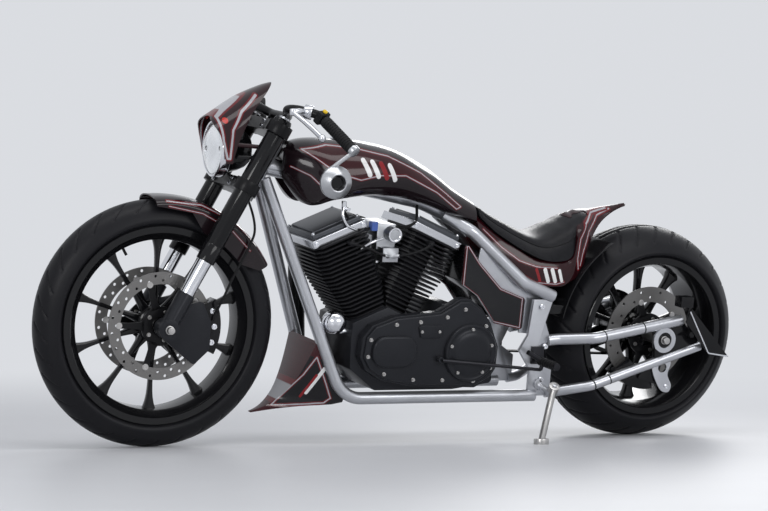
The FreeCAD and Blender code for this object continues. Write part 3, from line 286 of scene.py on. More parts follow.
@dataclass
class Group:
    """Writes one shared shader group between its input and its output.

    Attributes:
        graph: the group's nodes.
        source: the group's input.
        target: the group's output.
    """

    graph: Graph
    source: Node
    target: Node

    @classmethod
    def shared(cls, name: str, write: Callable[["Group"], None], outputs: Sequence[str],
               **inputs: object) -> NodeTree:
        """Make a group.

        Args:
            name: the group's name.
            write: writes its nodes.
            outputs: its outputs' names.
            inputs: its inputs' starting values, with underscores for the spaces in their names.

        Returns:
            The group.
        """
        tree = bpy.data.node_groups.new(name, "ShaderNodeTree")
        for label, value in inputs.items():
            kind = "NodeSocketVector" if isinstance(value, tuple) else "NodeSocketFloat"
            socket = tree.interface.new_socket(label.replace("_", " "), in_out="INPUT", socket_type=kind)
            socket.default_value = value
        for label in outputs:
            tree.interface.new_socket(label, in_out="OUTPUT", socket_type="NodeSocketFloat")
        graph = Graph(tree)
        write(cls(graph, graph.node("NodeGroupInput"), graph.node("NodeGroupOutput")))
        return tree

    def get(self, name: str) -> NodeSocket:
        """One of the group's inputs."""
        return self.source.outputs[name]

    def put(self, name: str, value: NodeSocket) -> None:
        """Send a value to one of the group's outputs."""
        self.graph.join(value, self.target.inputs[name])

    def noise(self, **inputs: object) -> NodeSocket:
        """Three-dimensional noise, on the group's own coordinates unless others are given."""
        node = self.graph.node("ShaderNodeTexNoise", noise_dimensions="3D")
        return self.graph.feed(node, **{"Vector": self.get("Vector"), **inputs}).outputs[0]

    def grain(self) -> None:
        """Uneven tone and a fine rough height, as on castings, paint and plastic."""
        maths = self.graph.maths
        broad = self.graph.ramp(self.noise(Scale=self.get("Patch scale"), Detail=3.0), 0.3, 0.7, -1.0, 1.0)
        self.put("Tone", maths("ADD", maths("MULTIPLY", broad, self.get("Unevenness")), 1.0))
        self.put("Height", self.noise(Scale=self.get("Scale"), Detail=4.0, Roughness=0.6))

    def scuffs(self) -> None:
        """Faint crossing scratches and rubbed patches, as a mask."""
        graph = self.graph
        stretched = graph.vector("MULTIPLY", self.get("Vector"), (1.0, 1.0, 9.0))
        lines = self.noise(Vector=stretched, Scale=self.get("Scale"), Detail=6.0, Distortion=0.6)
        patches = self.noise(Scale=14.0, Detail=2.0)
        marks = graph.maths("MULTIPLY", graph.ramp(lines, 0.56, 0.72), graph.ramp(patches, 0.42, 0.66))
        self.put("Mask", graph.maths("MULTIPLY", marks, self.get("Cover")))

    def dust(self) -> None:
        """A light film of dust that lies where a surface faces up."""
        graph = self.graph
        split = graph.node("ShaderNodeSeparateXYZ")
        graph.join(graph.node("ShaderNodeNewGeometry").outputs["Normal"], split.inputs[0])
        cloud = graph.ramp(self.noise(Scale=22.0, Detail=5.0), 0.35, 0.8)
        mask = graph.maths("MULTIPLY", graph.ramp(split.outputs["Z"], 0.15, 0.95), cloud)
        self.put("Mask", graph.maths("MULTIPLY", mask, self.get("Cover")))

    def brushed(self) -> None:
        """Long fine lines left by brushing or turning, as a tone and a height."""
        stretched = self.graph.vector("MULTIPLY", self.get("Vector"), self.get("Stretch"))
        lines = self.noise(Vector=stretched, Scale=self.get("Scale"), Detail=3.0)
        self.put("Tone", self.graph.ramp(lines, 0.25, 0.75, 0.86, 1.08))
        self.put("Height", lines)

    def hide(self) -> None:
        """Leather's pebbled cells with soft creases."""
        graph = self.graph
        cells = graph.node("ShaderNodeTexVoronoi", feature="DISTANCE_TO_EDGE")
        graph.feed(cells, Vector=self.get("Vector"), Scale=self.get("Scale"))
        creases = self.noise(Scale=40.0, Detail=5.0, Distortion=1.2)
        pebble = graph.maths("MULTIPLY", graph.ramp(cells.outputs[0], 0.0, 0.14), 0.7)
        self.put("Height", graph.maths("ADD", pebble, creases))
        self.put("Tone", graph.ramp(creases, 0.3, 0.7, 0.8, 1.2))

    def run(self) -> None:
        """The distance in side view to one straight run of a line, or to a nearer one before it."""
        graph = self.graph
        run = graph.vector("SUBTRACT", self.get("End"), self.get("Start"))
        away = graph.vector("SUBTRACT", self.get("Point"), self.get("Start"))
        along = graph.maths("DIVIDE", graph.vector("DOT_PRODUCT", away, run, output=1),
                            graph.vector("DOT_PRODUCT", run, run, output=1))
        inside = graph.maths("MINIMUM", graph.maths("MAXIMUM", along, 0.0), 1.0)
        scaled = graph.node("ShaderNodeVectorMath", operation="SCALE")
        graph.join(run, scaled.inputs[0])
        graph.join(inside, scaled.inputs["Scale"])
        gap = graph.vector("LENGTH", graph.vector("SUBTRACT", away, scaled.outputs[0]), output=1)
        self.put("Nearest", graph.maths("MINIMUM", gap, self.get("Nearest")))


ZERO = (0.0, 0.0, 0.0)
GRAIN = Group.shared("Grain", Group.grain, ("Tone", "Height"), Vector=ZERO, Scale=400.0, Patch_scale=9.0,
                     Unevenness=0.05)
SCUFFS = Group.shared("Scuffs", Group.scuffs, ("Mask",), Vector=ZERO, Scale=60.0, Cover=0.3)
DUST = Group.shared("Dust", Group.dust, ("Mask",), Vector=ZERO, Cover=0.2)
BRUSHED = Group.shared("Brushed lines", Group.brushed, ("Tone", "Height"), Vector=ZERO, Scale=90.0,
                       Stretch=(1.0, 14.0, 14.0))
HIDE = Group.shared("Hide", Group.hide, ("Tone", "Height"), Vector=ZERO, Scale=620.0)
RUN = Group.shared("Stripe run", Group.run, ("Nearest",), Point=ZERO, Start=ZERO, End=(1.0, 0.0, 0.0),
                   Nearest=9.0)


@dataclass(frozen=True)
class Stripe:
    """A painted line drawn in side view on the upright machine, in millimetres.

    Attributes:
        points: its corners as X and Z.
        width: the silver core's width.
        edge: the red edge's width on each side.
        closed: whether it comes back to its start.
        core: the core's colour.
        rim: the edge's colour.
    """

    points: tuple[Pair, ...]
    width: float = 4.0
    edge: float = 2.0
    closed: bool = False
    core: Triple = (0.4, 0.4, 0.43)
    rim: Triple = (0.13, 0.006, 0.009)

    def runs(self) -> list[tuple[Pair, Pair]]:
        """The line's straight runs."""
        ends = self.points + (self.points[:1] if self.closed else ())
        return list(zip(ends, ends[1:]))


DUST_COLOUR = (0.32, 0.31, 0.3)
SCUFFED_ROUGHER, DUSTY_ROUGHER = 0.18, 0.5
SCUFFED_LIGHTER, SCUFFED_LEAST = 1.6, 0.03
STRIPE_BLUR = 0.0003


@dataclass(frozen=True)
class Finish:
    """A surface finish and how its material is made.

    Attributes:
        name: the material's name.
        colour: its base colour.
        slot: the record's material slot; not used.
        roughness: how dull it is.
        metallic: 1 for bare metal.
        coat: clear lacquer over it.
        grain: the fine texture's scale in cells a metre.
        depth: the fine texture's depth in millimetres.
        unevenness: how much the tone varies.
        dust: how much dust lies on it.
        scuffs: how much it is rubbed.
        brushed: the stretch of its brushed lines, or None.
        hide: whether it is leather.
        clear: 1 for glass.
        shine: how much light its face throws back.
        stripes: painted lines.
        body: which pieces' upright drawing the stripes use.
    """

    name: str
    colour: Triple
    slot: str
    roughness: float = 0.4
    metallic: float = 0.0
    coat: float = 0.0
    grain: float = 500.0
    depth: float = 0.02
    unevenness: float = 0.06
    dust: float = 0.12
    scuffs: float = 0.15
    brushed: Triple | None = None
    hide: bool = False
    clear: float = 0.0
    shine: float = 0.15
    stripes: tuple[Stripe, ...] = ()
    body: Body = Body.FRAME

    def material(self) -> bpy.types.Material:
        """The finish's material, made once."""
        found = bpy.data.materials.get(self.name)
        return found or self.build()

    def build(self) -> bpy.types.Material:
        """Write the material's nodes.

        Returns:
            The material.
        """
        material = bpy.data.materials.new(self.name)
        material.use_nodes = True
        graph = Graph(material.node_tree)
        shader = material.node_tree.nodes["Principled BSDF"]
        place = graph.node("ShaderNodeTexCoord").outputs["Object"]
        graph.feed(shader, Metallic=self.metallic, Coat_Weight=self.coat, Coat_Roughness=0.06,
                   Specular_IOR_Level=self.shine)
        texture, height = self.texture(graph, place)
        scuffs = self.group(graph, SCUFFS, Vector=place, Cover=self.scuffs).outputs[0]
        dust = self.group(graph, DUST, Vector=place, Cover=self.dust).outputs[0]
        base = graph.mix(1.0, (1.0, 1.0, 1.0), self.colour)
        if self.stripes:
            base = self.striped(graph, place, base)
        toned = graph.node("ShaderNodeMix", data_type="RGBA", blend_type="MULTIPLY")
        toned.inputs[0].default_value = 1.0
        graph.join(base, toned.inputs[6])
        graph.join(texture, toned.inputs[7])
        lighter = tuple(min(1.0, part * SCUFFED_LIGHTER + SCUFFED_LEAST) for part in self.colour)
        rubbed = graph.mix(scuffs, toned.outputs[2], lighter)
        dusted = graph.mix(dust, rubbed, DUST_COLOUR)
        rough = graph.maths("ADD", self.roughness, graph.maths("MULTIPLY", scuffs, SCUFFED_ROUGHER))
        rough = graph.maths("ADD", rough, graph.maths("MULTIPLY", dust, DUSTY_ROUGHER))
        bump = graph.node("ShaderNodeBump")
        graph.feed(bump, Height=height, Distance=self.depth * MM, Strength=0.6)
        graph.feed(shader, Base_Color=dusted, Roughness=rough, Normal=bump.outputs[0])
        if self.clear:
            graph.feed(shader, Transmission_Weight=self.clear, IOR=1.3)
        return material

    def texture(self, graph: Graph, place: NodeSocket) -> tuple[NodeSocket, NodeSocket]:
        """The finish's tone and height.

        Args:
            graph: the material's nodes.
            place: object coordinates.

        Returns:
            The tone and height sockets.
        """
        if self.hide:
            node = self.group(graph, HIDE, Vector=place, Scale=self.grain)
        elif self.brushed:
            node = self.group(graph, BRUSHED, Vector=place, Scale=self.grain, Stretch=self.brushed)
        else:
            node = self.group(graph, GRAIN, Vector=place, Scale=self.grain, Unevenness=self.unevenness)
        return node.outputs["Tone"], node.outputs["Height"]

    def group(self, graph: Graph, tree: NodeTree, **inputs: object) -> Node:
        """Place a shared group with its values."""
        node = graph.node("ShaderNodeGroup", node_tree=tree)
        return graph.feed(node, **inputs)

    def striped(self, graph: Graph, place: NodeSocket, base: NodeSocket) -> NodeSocket:
        """Paint the finish's lines over its base colour.

        Args:
            graph: the material's nodes.
            place: object coordinates.
            base: the colour below.

        Returns:
            The painted colour.
        """
        back = STANCE.matrix(self.body).inverted()
        turned = graph.node("ShaderNodeMapping", vector_type="POINT")
        turned.inputs["Location"].default_value = back.to_translation() * MM
        turned.inputs["Rotation"].default_value = back.to_euler()
        graph.join(place, turned.inputs["Vector"])
        flat = graph.vector("MULTIPLY", turned.outputs[0], (1.0, 0.0, 1.0))
        for stripe in self.stripes:
            nearest: object = 9.0
            for start, end in stripe.runs():
                node = self.group(graph, RUN, Point=flat, Start=(start[0] * MM, 0.0, start[1] * MM),
                                  End=(end[0] * MM, 0.0, end[1] * MM), Nearest=nearest)
                nearest = node.outputs[0]
            core, edge = stripe.width * MM / 2, (stripe.width / 2 + stripe.edge) * MM
            red = graph.ramp(nearest, edge - STRIPE_BLUR, edge + STRIPE_BLUR, 1.0, 0.0)
            silver = graph.ramp(nearest, core - STRIPE_BLUR, core + STRIPE_BLUR, 1.0, 0.0)
            base = graph.mix(red, base, stripe.rim) if stripe.edge else base
            base = graph.mix(silver, base, stripe.core)
        return base


class Paint:
    """The machine's finishes, by what they cover."""

    SILVER = Finish("satin silver paint", (0.5, 0.51, 0.54), "frame_paint", 0.3, 0.8, 0.3, depth=0.012,
                    dust=0.06)
    BLACK_GLOSS = Finish("gloss black", (0.006, 0.006, 0.007), "black_metal", 0.16, 0.0, 0.25, depth=0.006,
                         dust=0.0, scuffs=0.03)
    WHEEL = Finish("wheel black", (0.006, 0.006, 0.007), "black_metal", 0.2, 0.0, 0.3, depth=0.01, dust=0.01,
                   scuffs=0.05)
    BLACK_SATIN = Finish("satin black metal", (0.009, 0.009, 0.01), "black_metal", 0.32, 0.1, 0.0, depth=0.03,
                         dust=0.01)
    CASTING = Finish("dark grey casting", (0.022, 0.023, 0.027), "engine_grey", 0.3, 0.25, 0.0, grain=900.0,
                     depth=0.03, dust=0.02)
    FINS = Finish("dark fins", (0.012, 0.012, 0.014), "engine_grey", 0.36, 0.2, 0.0, grain=900.0, depth=0.03,
                  dust=0.01)
    LID = Finish("grey lid paint", (0.09, 0.095, 0.105), "engine_polished", 0.34, 0.6, 0.0, grain=900.0,
                 depth=0.02, dust=0.0)
    DARK_ALLOY = Finish("dark alloy", (0.03, 0.03, 0.034), "aluminium", 0.32, 0.8, 0.0, depth=0.01, dust=0.0)
    POLISHED = Finish("polished alloy", (0.62, 0.63, 0.66), "engine_polished", 0.2, 1.0, 0.0,
                      brushed=(1.0, 8.0, 8.0))
    ALLOY = Finish("satin alloy", (0.5, 0.51, 0.53), "aluminium", 0.3, 1.0, 0.0, brushed=(1.0, 6.0, 6.0))
    LEVER = Finish("bright lever", (0.62, 0.63, 0.66), "chrome", 0.22, 1.0, 0.0, brushed=(6.0, 1.0, 1.0),
                   dust=0.04)
    CHROME = Finish("chrome plate", (0.75, 0.76, 0.79), "chrome", 0.08, 1.0, 0.0, depth=0.004, dust=0.03,
                    scuffs=0.05)
    MIRROR = Finish("lamp mirror", (0.85, 0.86, 0.88), "chrome", 0.12, 1.0, 0.0, depth=0.01, dust=0.0,
                    scuffs=0.0)
    STEEL = Finish("brushed steel", (0.5, 0.49, 0.48), "steel", 0.3, 1.0, 0.0, brushed=(5.0, 1.0, 5.0))
    DISC = Finish("brake disc steel", (0.2, 0.195, 0.19), "steel", 0.42, 1.0, 0.0, brushed=(6.0, 1.0, 6.0))
    RUBBER = Finish("moulded rubber", (0.01, 0.01, 0.011), "rubber", 0.55, 0.0, 0.0, depth=0.05, dust=0.02)
    TYRE = Finish("tyre rubber", (0.01, 0.01, 0.012), "tyre", 0.42, 0.0, 0.0, grain=700.0, depth=0.04,
                  dust=0.02)
    LEATHER = Finish("black leather", (0.01, 0.01, 0.012), "leather", 0.36, 0.0, 0.0, grain=620.0, depth=0.1,
                     hide=True, dust=0.02)
    THREAD = Finish("seam piping", (0.006, 0.006, 0.007), "leather", 0.5, 0.0, 0.0, grain=900.0, depth=0.1,
                    dust=0.02)
    GLASS = Finish("lamp glass", (0.95, 0.96, 0.97), "chrome", 0.03, 0.0, 0.0, depth=0.001, dust=0.0,
                   scuffs=0.0, clear=1.0)
    LENS = Finish("red lens", (0.25, 0.006, 0.006), "body_paint", 0.12, 0.0, 0.5, depth=0.01, dust=0.02)
    YELLOW = Finish("yellow button", (0.75, 0.5, 0.03), "rubber", 0.4, 0.0, 0.0, dust=0.0)
    BLUE = Finish("blue plastic", (0.08, 0.14, 0.42), "rubber", 0.4, 0.0, 0.0, dust=0.0)


def body_of(node: str) -> Body:
    """The body that carries a node."""
    return next(body for body in Body if node in frame["record"]["behaviour"]["bodies"][body.value])


class Maker:
    """Makes pieces from meshes drawn on the upright machine."""

    @staticmethod
    def settle(name: str, mesh: Mesh, body: Body, finish: Finish, placed: bool = False) -> Object:
        """Turn a mesh into a riding piece.

        Args:
            name: the piece's name.
            mesh: its mesh, drawn upright in millimetres unless it is placed.
            body: the body that carries it.
            finish: its finish.
            placed: whether the mesh is in row metres already.

        Returns:
            The piece.
        """
        if not placed:
            mesh.transform(STANCE.matrix(body))
        piece = Maker.draft(name, mesh)
        if not mesh.materials:
            mesh.materials.append(finish.material())
        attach(piece, body.value)
        LOG.info("%s: %d faces on %s", name, len(mesh.polygons), body.value)
        return piece

    @staticmethod
    def piece(name: str, mesh: Mesh, body: Body, finish: Finish, node: str = "",
              angle: float = 35.0) -> Object:
        """Shade a mesh, make it a riding piece and let it stand for a node.

        Args:
            name: the piece's name.
            mesh: its mesh, drawn upright in millimetres.
            body: the body that carries it.
            finish: its finish.
            node: the node that it stands for, if any.
            angle: the sharpest turn that still looks smooth, in degrees.

        Returns:
            The piece.
        """
        Maker.crease(mesh, angle)
        piece = Maker.settle(name, mesh, body, finish)
        if node:
            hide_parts(node)
        return piece

    @staticmethod
    def crease(mesh: Mesh, angle: float = 35.0) -> None:
        """Shade a mesh smooth and keep edges sharper than an angle.

        Args:
            mesh: the mesh.
            angle: the sharpest turn that still looks smooth, in degrees.
        """
        work = bmesh.new()
        work.from_mesh(mesh)
        limit = radians(angle)
        for face in work.faces:
            face.smooth = True
        for edge in work.edges:
            edge.smooth = len(edge.link_faces) == 2 and edge.calc_face_angle(pi) < limit
        work.to_mesh(mesh)
        work.free()

    @staticmethod
    def baked(piece: Object) -> Mesh:
        """Work a loose object's modifiers into a plain mesh and remove the object.

        Args:
            piece: the object.

        Returns:
            The mesh.
        """
        bpy.context.view_layer.update()
        seen = piece.evaluated_get(bpy.context.evaluated_depsgraph_get())
        mesh = bpy.data.meshes.new_from_object(seen)
        bpy.data.objects.remove(piece)
        return mesh

    @staticmethod
    def draft(name: str, mesh: bpy.types.ID) -> Object:
        """Put an object in the scene.

        Args:
            name: its name.
            mesh: its mesh, curve, light or camera.

        Returns:
            The object.
        """
        piece = bpy.data.objects.new(name, mesh)
        bpy.context.scene.collection.objects.link(piece)
        return piece

    @staticmethod
    def dressed_copy(node: str, finish: Finish, bevel: float = 0.0, angle: float = 32.0) -> Object:
        """A merged, smoothly shaded copy that stands for a node of the model.

        Args:
            node: the node.
            finish: its finish.
            bevel: the softened edges' width in millimetres.
            angle: the sharpest turn that still looks smooth, in degrees.

        Returns:
            The piece.
        """
        mesh = frame["nodes"][node].data.copy()
        mesh.materials.clear()
        work = bmesh.new()
        work.from_mesh(mesh)
        bmesh.ops.remove_doubles(work, verts=work.verts, dist=1e-5)
        bmesh.ops.dissolve_limit(work, angle_limit=radians(0.4), verts=work.verts, edges=work.edges)
        work.to_mesh(mesh)
        work.free()
        if bevel:
            draft = Maker.draft(node, mesh)
            soften = draft.modifiers.new("soften", "BEVEL")
            soften.width = bevel * MM
            soften.segments = 2
            soften.limit_method = "ANGLE"
            soften.angle_limit = radians(angle)
            soften.harden_normals = False
            mesh = Maker.baked(draft)
            mesh.materials.clear()
        Maker.crease(mesh, angle)
        piece = Maker.settle(node + "_dressed", mesh, body_of(node), finish, placed=True)
        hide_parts(node)
        return piece


Ring = list[Vector]


def eased(rows: Points, steps: int) -> list[tuple[float, ...]]:
    """Rows between the given rows, each column following a smooth curve.

    Args:
        rows: the given rows.
        steps: how many rows each gap becomes.

    Returns:
        All the rows.
    """
    out, last = [], len(rows) - 1
    for index in range(last):
        around = [rows[max(0, min(last, index + shift))] for shift in (-1, 0, 1, 2)]
        for step in range(steps):
            t = step / steps
            out.append(tuple(b + t / 2 * (c - a + t * (2 * a - 5 * b + 4 * c - d + t * (3 * (b - c) + d - a)))
                             for a, b, c, d in zip(*around)))
    return out + [tuple(rows[-1])]


def radial(turn: float) -> Vector:
    """The direction in side view at an angle from straight ahead."""
    return Vector((cos(turn), 0, sin(turn)))


def facing(points: Sequence[Vector]) -> Ring:
    """The mirror images of some points on the right side, in reverse order."""
    return [Vector((point.x, -point.y, point.z)) for point in reversed(points)]


def both(points: Sequence[Triple]) -> list[list[Triple]]:
    """A route and its mirror image on the right side."""
    return [list(points), [(x, -y, z) for x, y, z in points]]


class Shape:
    """Builds closed meshes in millimetres."""

    @staticmethod
    def raw(points: Points, faces: Sequence[Sequence[int]]) -> Mesh:
        """A mesh with its faces turned outwards.

        Args:
            points: its corners.
            faces: each face's corners by number.

        Returns:
            The mesh.
        """
        mesh = bpy.data.meshes.new("shape")
        mesh.from_pydata([tuple(point) for point in points], [], faces)
        work = bmesh.new()
        work.from_mesh(mesh)
        bmesh.ops.recalc_face_normals(work, faces=work.faces)
        work.to_mesh(mesh)
        work.free()
        return mesh

    @staticmethod
    def loft(rings: Sequence[Ring], wrap: bool = False) -> Mesh:
        """A skin over rings of equally many points.

        Args:
            rings: the closed rings in order.
            wrap: whether the last ring joins the first; otherwise both ends are closed.

        Returns:
            The mesh.
        """
        size, count = len(rings[0]), len(rings)
        faces = []
        for row in range(count if wrap else count - 1):
            here, over = row * size, (row + 1) % count * size
            faces += [(here + i, here + (i + 1) % size, over + (i + 1) % size, over + i) for i in range(size)]
        if not wrap:
            faces += [tuple(range(size)), tuple(range((count - 1) * size, count * size))]
        return Shape.raw([point for ring in rings for point in ring], faces)

    @staticmethod
    def lathe(profile: Sequence[Pair], place: Sequence[float], axis: Sequence[float] = (0, 1, 0),
              sides: int = 96, wrap: bool = False) -> Mesh:
        """A turned piece.

        Args:
            profile: places along the axis with their radii.
            place: the profile's zero.
            axis: the axis direction.
            sides: how many steps round it.
            wrap: whether the profile is a closed loop round a hole.

        Returns:
            The mesh.
        """
        line, centre = Vector(axis).normalized(), Vector(place)
        first = line.orthogonal().normalized()
        second = line.cross(first)
        outs = [first * cos(tau * step / sides) + second * sin(tau * step / sides) for step in range(sides)]
        if wrap:
            return Shape.loft([[centre + line * at + out * radius for at, radius in profile] for out in outs],
                              True)
        return Shape.loft([[centre + line * at + out * radius for out in outs] for at, radius in profile])

    @staticmethod
    def rod(start: Sequence[float], end: Sequence[float], radius: float, soft: float = 0.0,
            sides: int = 32) -> Mesh:
        """A round bar between two points.

        Args:
            start: one end.
            end: the other end.
            radius: the bar's radius.
            soft: the width that rounds off its ends.
            sides: how many sides it has.

        Returns:
            The mesh.
        """
        line = Vector(end) - Vector(start)
        reach = line.length
        if not soft:
            return Shape.lathe([(0, radius), (reach, radius)], start, line, sides)
        near = [(soft * (1 - cos(t)), radius - soft + soft * sin(t)) for t in (0, 0.5, 1.0, pi / 2)]
        return Shape.lathe(near + [(reach - at, r) for at, r in reversed(near)], start, line, sides)

    @staticmethod
    def path(corners: Points, bend: float, steps: int = 9) -> list[Vector]:
        """A line with each corner rounded.

        Args:
            corners: the line's corners.
            bend: the radius.
            steps: how many steps a corner takes.

        Returns:
            The line's points.
        """
        spots = [Vector(corner) for corner in corners]
        line = [spots[0]]
        for before, corner, after in zip(spots, spots[1:], spots[2:]):
            back, on = (before - corner).normalized(), (after - corner).normalized()
            half = (pi - back.angle(on)) / 2
            reach = bend * math.tan(half)
            middle = (back + on).normalized()
            centre = corner + middle * (bend / cos(half))
            start, end = corner + back * reach - centre, corner + on * reach - centre
            line += [centre + start.slerp(end, step / steps).normalized() * bend for step in range(steps + 1)]
        return line + [spots[-1]]

    @staticmethod
    def pipe(corners: Points, radius: float, bend: float = 0.0, sides: int = 28) -> Mesh:
        """A round bar along corners.

        Args:
            corners: the way's corners.
            radius: the bar's radius.
            bend: the corners' radius, or 0 for a way that is smooth already.
            sides: how many sides the bar has.

        Returns:
            The mesh.
        """
        line = Shape.path(corners, bend) if bend else [Vector(corner) for corner in corners]
        out = (line[1] - line[0]).orthogonal().normalized()
        rings = []
        for index, spot in enumerate(line):
            ahead = (line[min(index + 1, len(line) - 1)] - line[max(index - 1, 0)]).normalized()
            out = (out - ahead * out.dot(ahead)).normalized()
            side = ahead.cross(out)
            rings.append([spot + (out * cos(tau * i / sides) + side * sin(tau * i / sides)) * radius
                          for i in range(sides)])
        return Shape.loft(rings)

    @staticmethod
    def rounded(outline: Sequence[Pair], bend: float, steps: int = 9) -> list[Pair]:
        """A closed X, Z outline with each corner rounded in some steps."""
        line = Shape.path([(x, 0, z) for x, z in list(outline) + list(outline[:2])], bend, steps)
        return [(point.x, point.z) for point in line[1:-1]]

    @staticmethod
    def slab(outline: Sequence[Pair], low: float, high: float, soft: float = 0.0,
             angle: float = 30.0) -> Mesh:
        """A plate of an X, Z outline between two Y, with rounded edges where it turns more than the angle."""
        mesh = Shape.loft([[Vector((x, y, z)) for x, z in outline] for y in (low, high)])
        return Shape.softened(mesh, soft, angle) if soft else mesh

    @staticmethod
    def block(low: Sequence[float], high: Sequence[float], soft: float = 0.0) -> Mesh:
        """A box between two corners."""
        outline = [(low[0], low[2]), (high[0], low[2]), (high[0], high[2]), (low[0], high[2])]
        return Shape.slab(outline, low[1], high[1], soft)

    @staticmethod
    def softened(mesh: Mesh, width: float, angle: float = 30.0) -> Mesh:
        """Round a mesh's edges.

        Args:
            mesh: the mesh.
            width: how wide the rounding is.
            angle: the edges that turn more than this are rounded, in degrees.

        Returns:
            The same mesh.
        """
        work = bmesh.new()
        work.from_mesh(mesh)
        limit = radians(angle)
        sharp = [edge for edge in work.edges if len(edge.link_faces) == 2
                 and edge.calc_face_angle(0.0) > limit]
        bmesh.ops.bevel(work, geom=sharp, offset=width, offset_type="OFFSET", segments=3, profile=0.5,
                        affect="EDGES", clamp_overlap=True)
        work.to_mesh(mesh)
        work.free()
        return mesh

    @staticmethod
    def joined(meshes: Sequence[Mesh]) -> Mesh:
        """One mesh of several.

        Args:
            meshes: the meshes.

        Returns:
            The new mesh.
        """
        work = bmesh.new()
        for mesh in meshes:
            work.from_mesh(mesh)
        out = bpy.data.meshes.new("joined")
        work.to_mesh(out)
        work.free()
        return out

    @staticmethod
    def mirrored(mesh: Mesh) -> Mesh:
        """A mesh with its mirror image on the other side.

        Args:
            mesh: the mesh.

        Returns:
            The new mesh.
        """
        work = bmesh.new()
        work.from_mesh(mesh)
        for vert in work.verts:
            vert.co.y *= -1
        bmesh.ops.reverse_faces(work, faces=work.faces)
        work.from_mesh(mesh)
        out = bpy.data.meshes.new("pair")
        work.to_mesh(out)
        work.free()
        return out

    @staticmethod
    def carved(mesh: Mesh, cutters: Sequence[Mesh], keep: bool = False) -> Mesh:
        """Cut other shapes away from a mesh.

        Args:
            mesh: the mesh.
            cutters: the shapes to take away.
            keep: whether to keep only what is inside them instead.

        Returns:
            The carved mesh.
        """
        draft = Maker.draft("carved", mesh)
        helpers = [Maker.draft("cutter", cutter) for cutter in cutters]
        for helper in helpers:
            step = draft.modifiers.new("cut", "BOOLEAN")
            step.operation = "INTERSECT" if keep else "DIFFERENCE"
            step.object = helper
            step.solver = "EXACT"
        mesh = Maker.baked(draft)
        for helper in helpers:
            bpy.data.objects.remove(helper)
        return mesh

    @staticmethod
    def fork(mesh: Mesh) -> Mesh:
        """A mesh drawn in fork axes, set on the upright machine."""
        mesh.transform(Matrix.Translation(FRONT_AXLE) @ Matrix.Rotation(-RAKE, 4, "Y"))
        return mesh

    @staticmethod
    def inside(x: float, z: float, outline: Sequence[Pair]) -> bool:
        """Whether a place lies inside an outline in side view.

        Args:
            x: the place's X.
            z: its Z.
            outline: the outline.

        Returns:
            True inside it.
        """
        hit = False
        for (ax, az), (bx, bz) in zip(outline, tuple(outline[1:]) + tuple(outline[:1])):
            if (az > z) != (bz > z) and x < (bx - ax) * (z - az) / (bz - az) + ax:
                hit = not hit
        return hit


BEAD_DROP = 14
CROWN_STEPS, TYRE_STEPS = 40, 720
GROOVE_PITCH, GROOVE_DEPTH, GROOVE_HALF, RAIN_HALF = 24.0, 3.6, 1.5, 3.2
GROOVE_SLANT, SIDE_SHIFT = 26, 9
SPOKES = 10


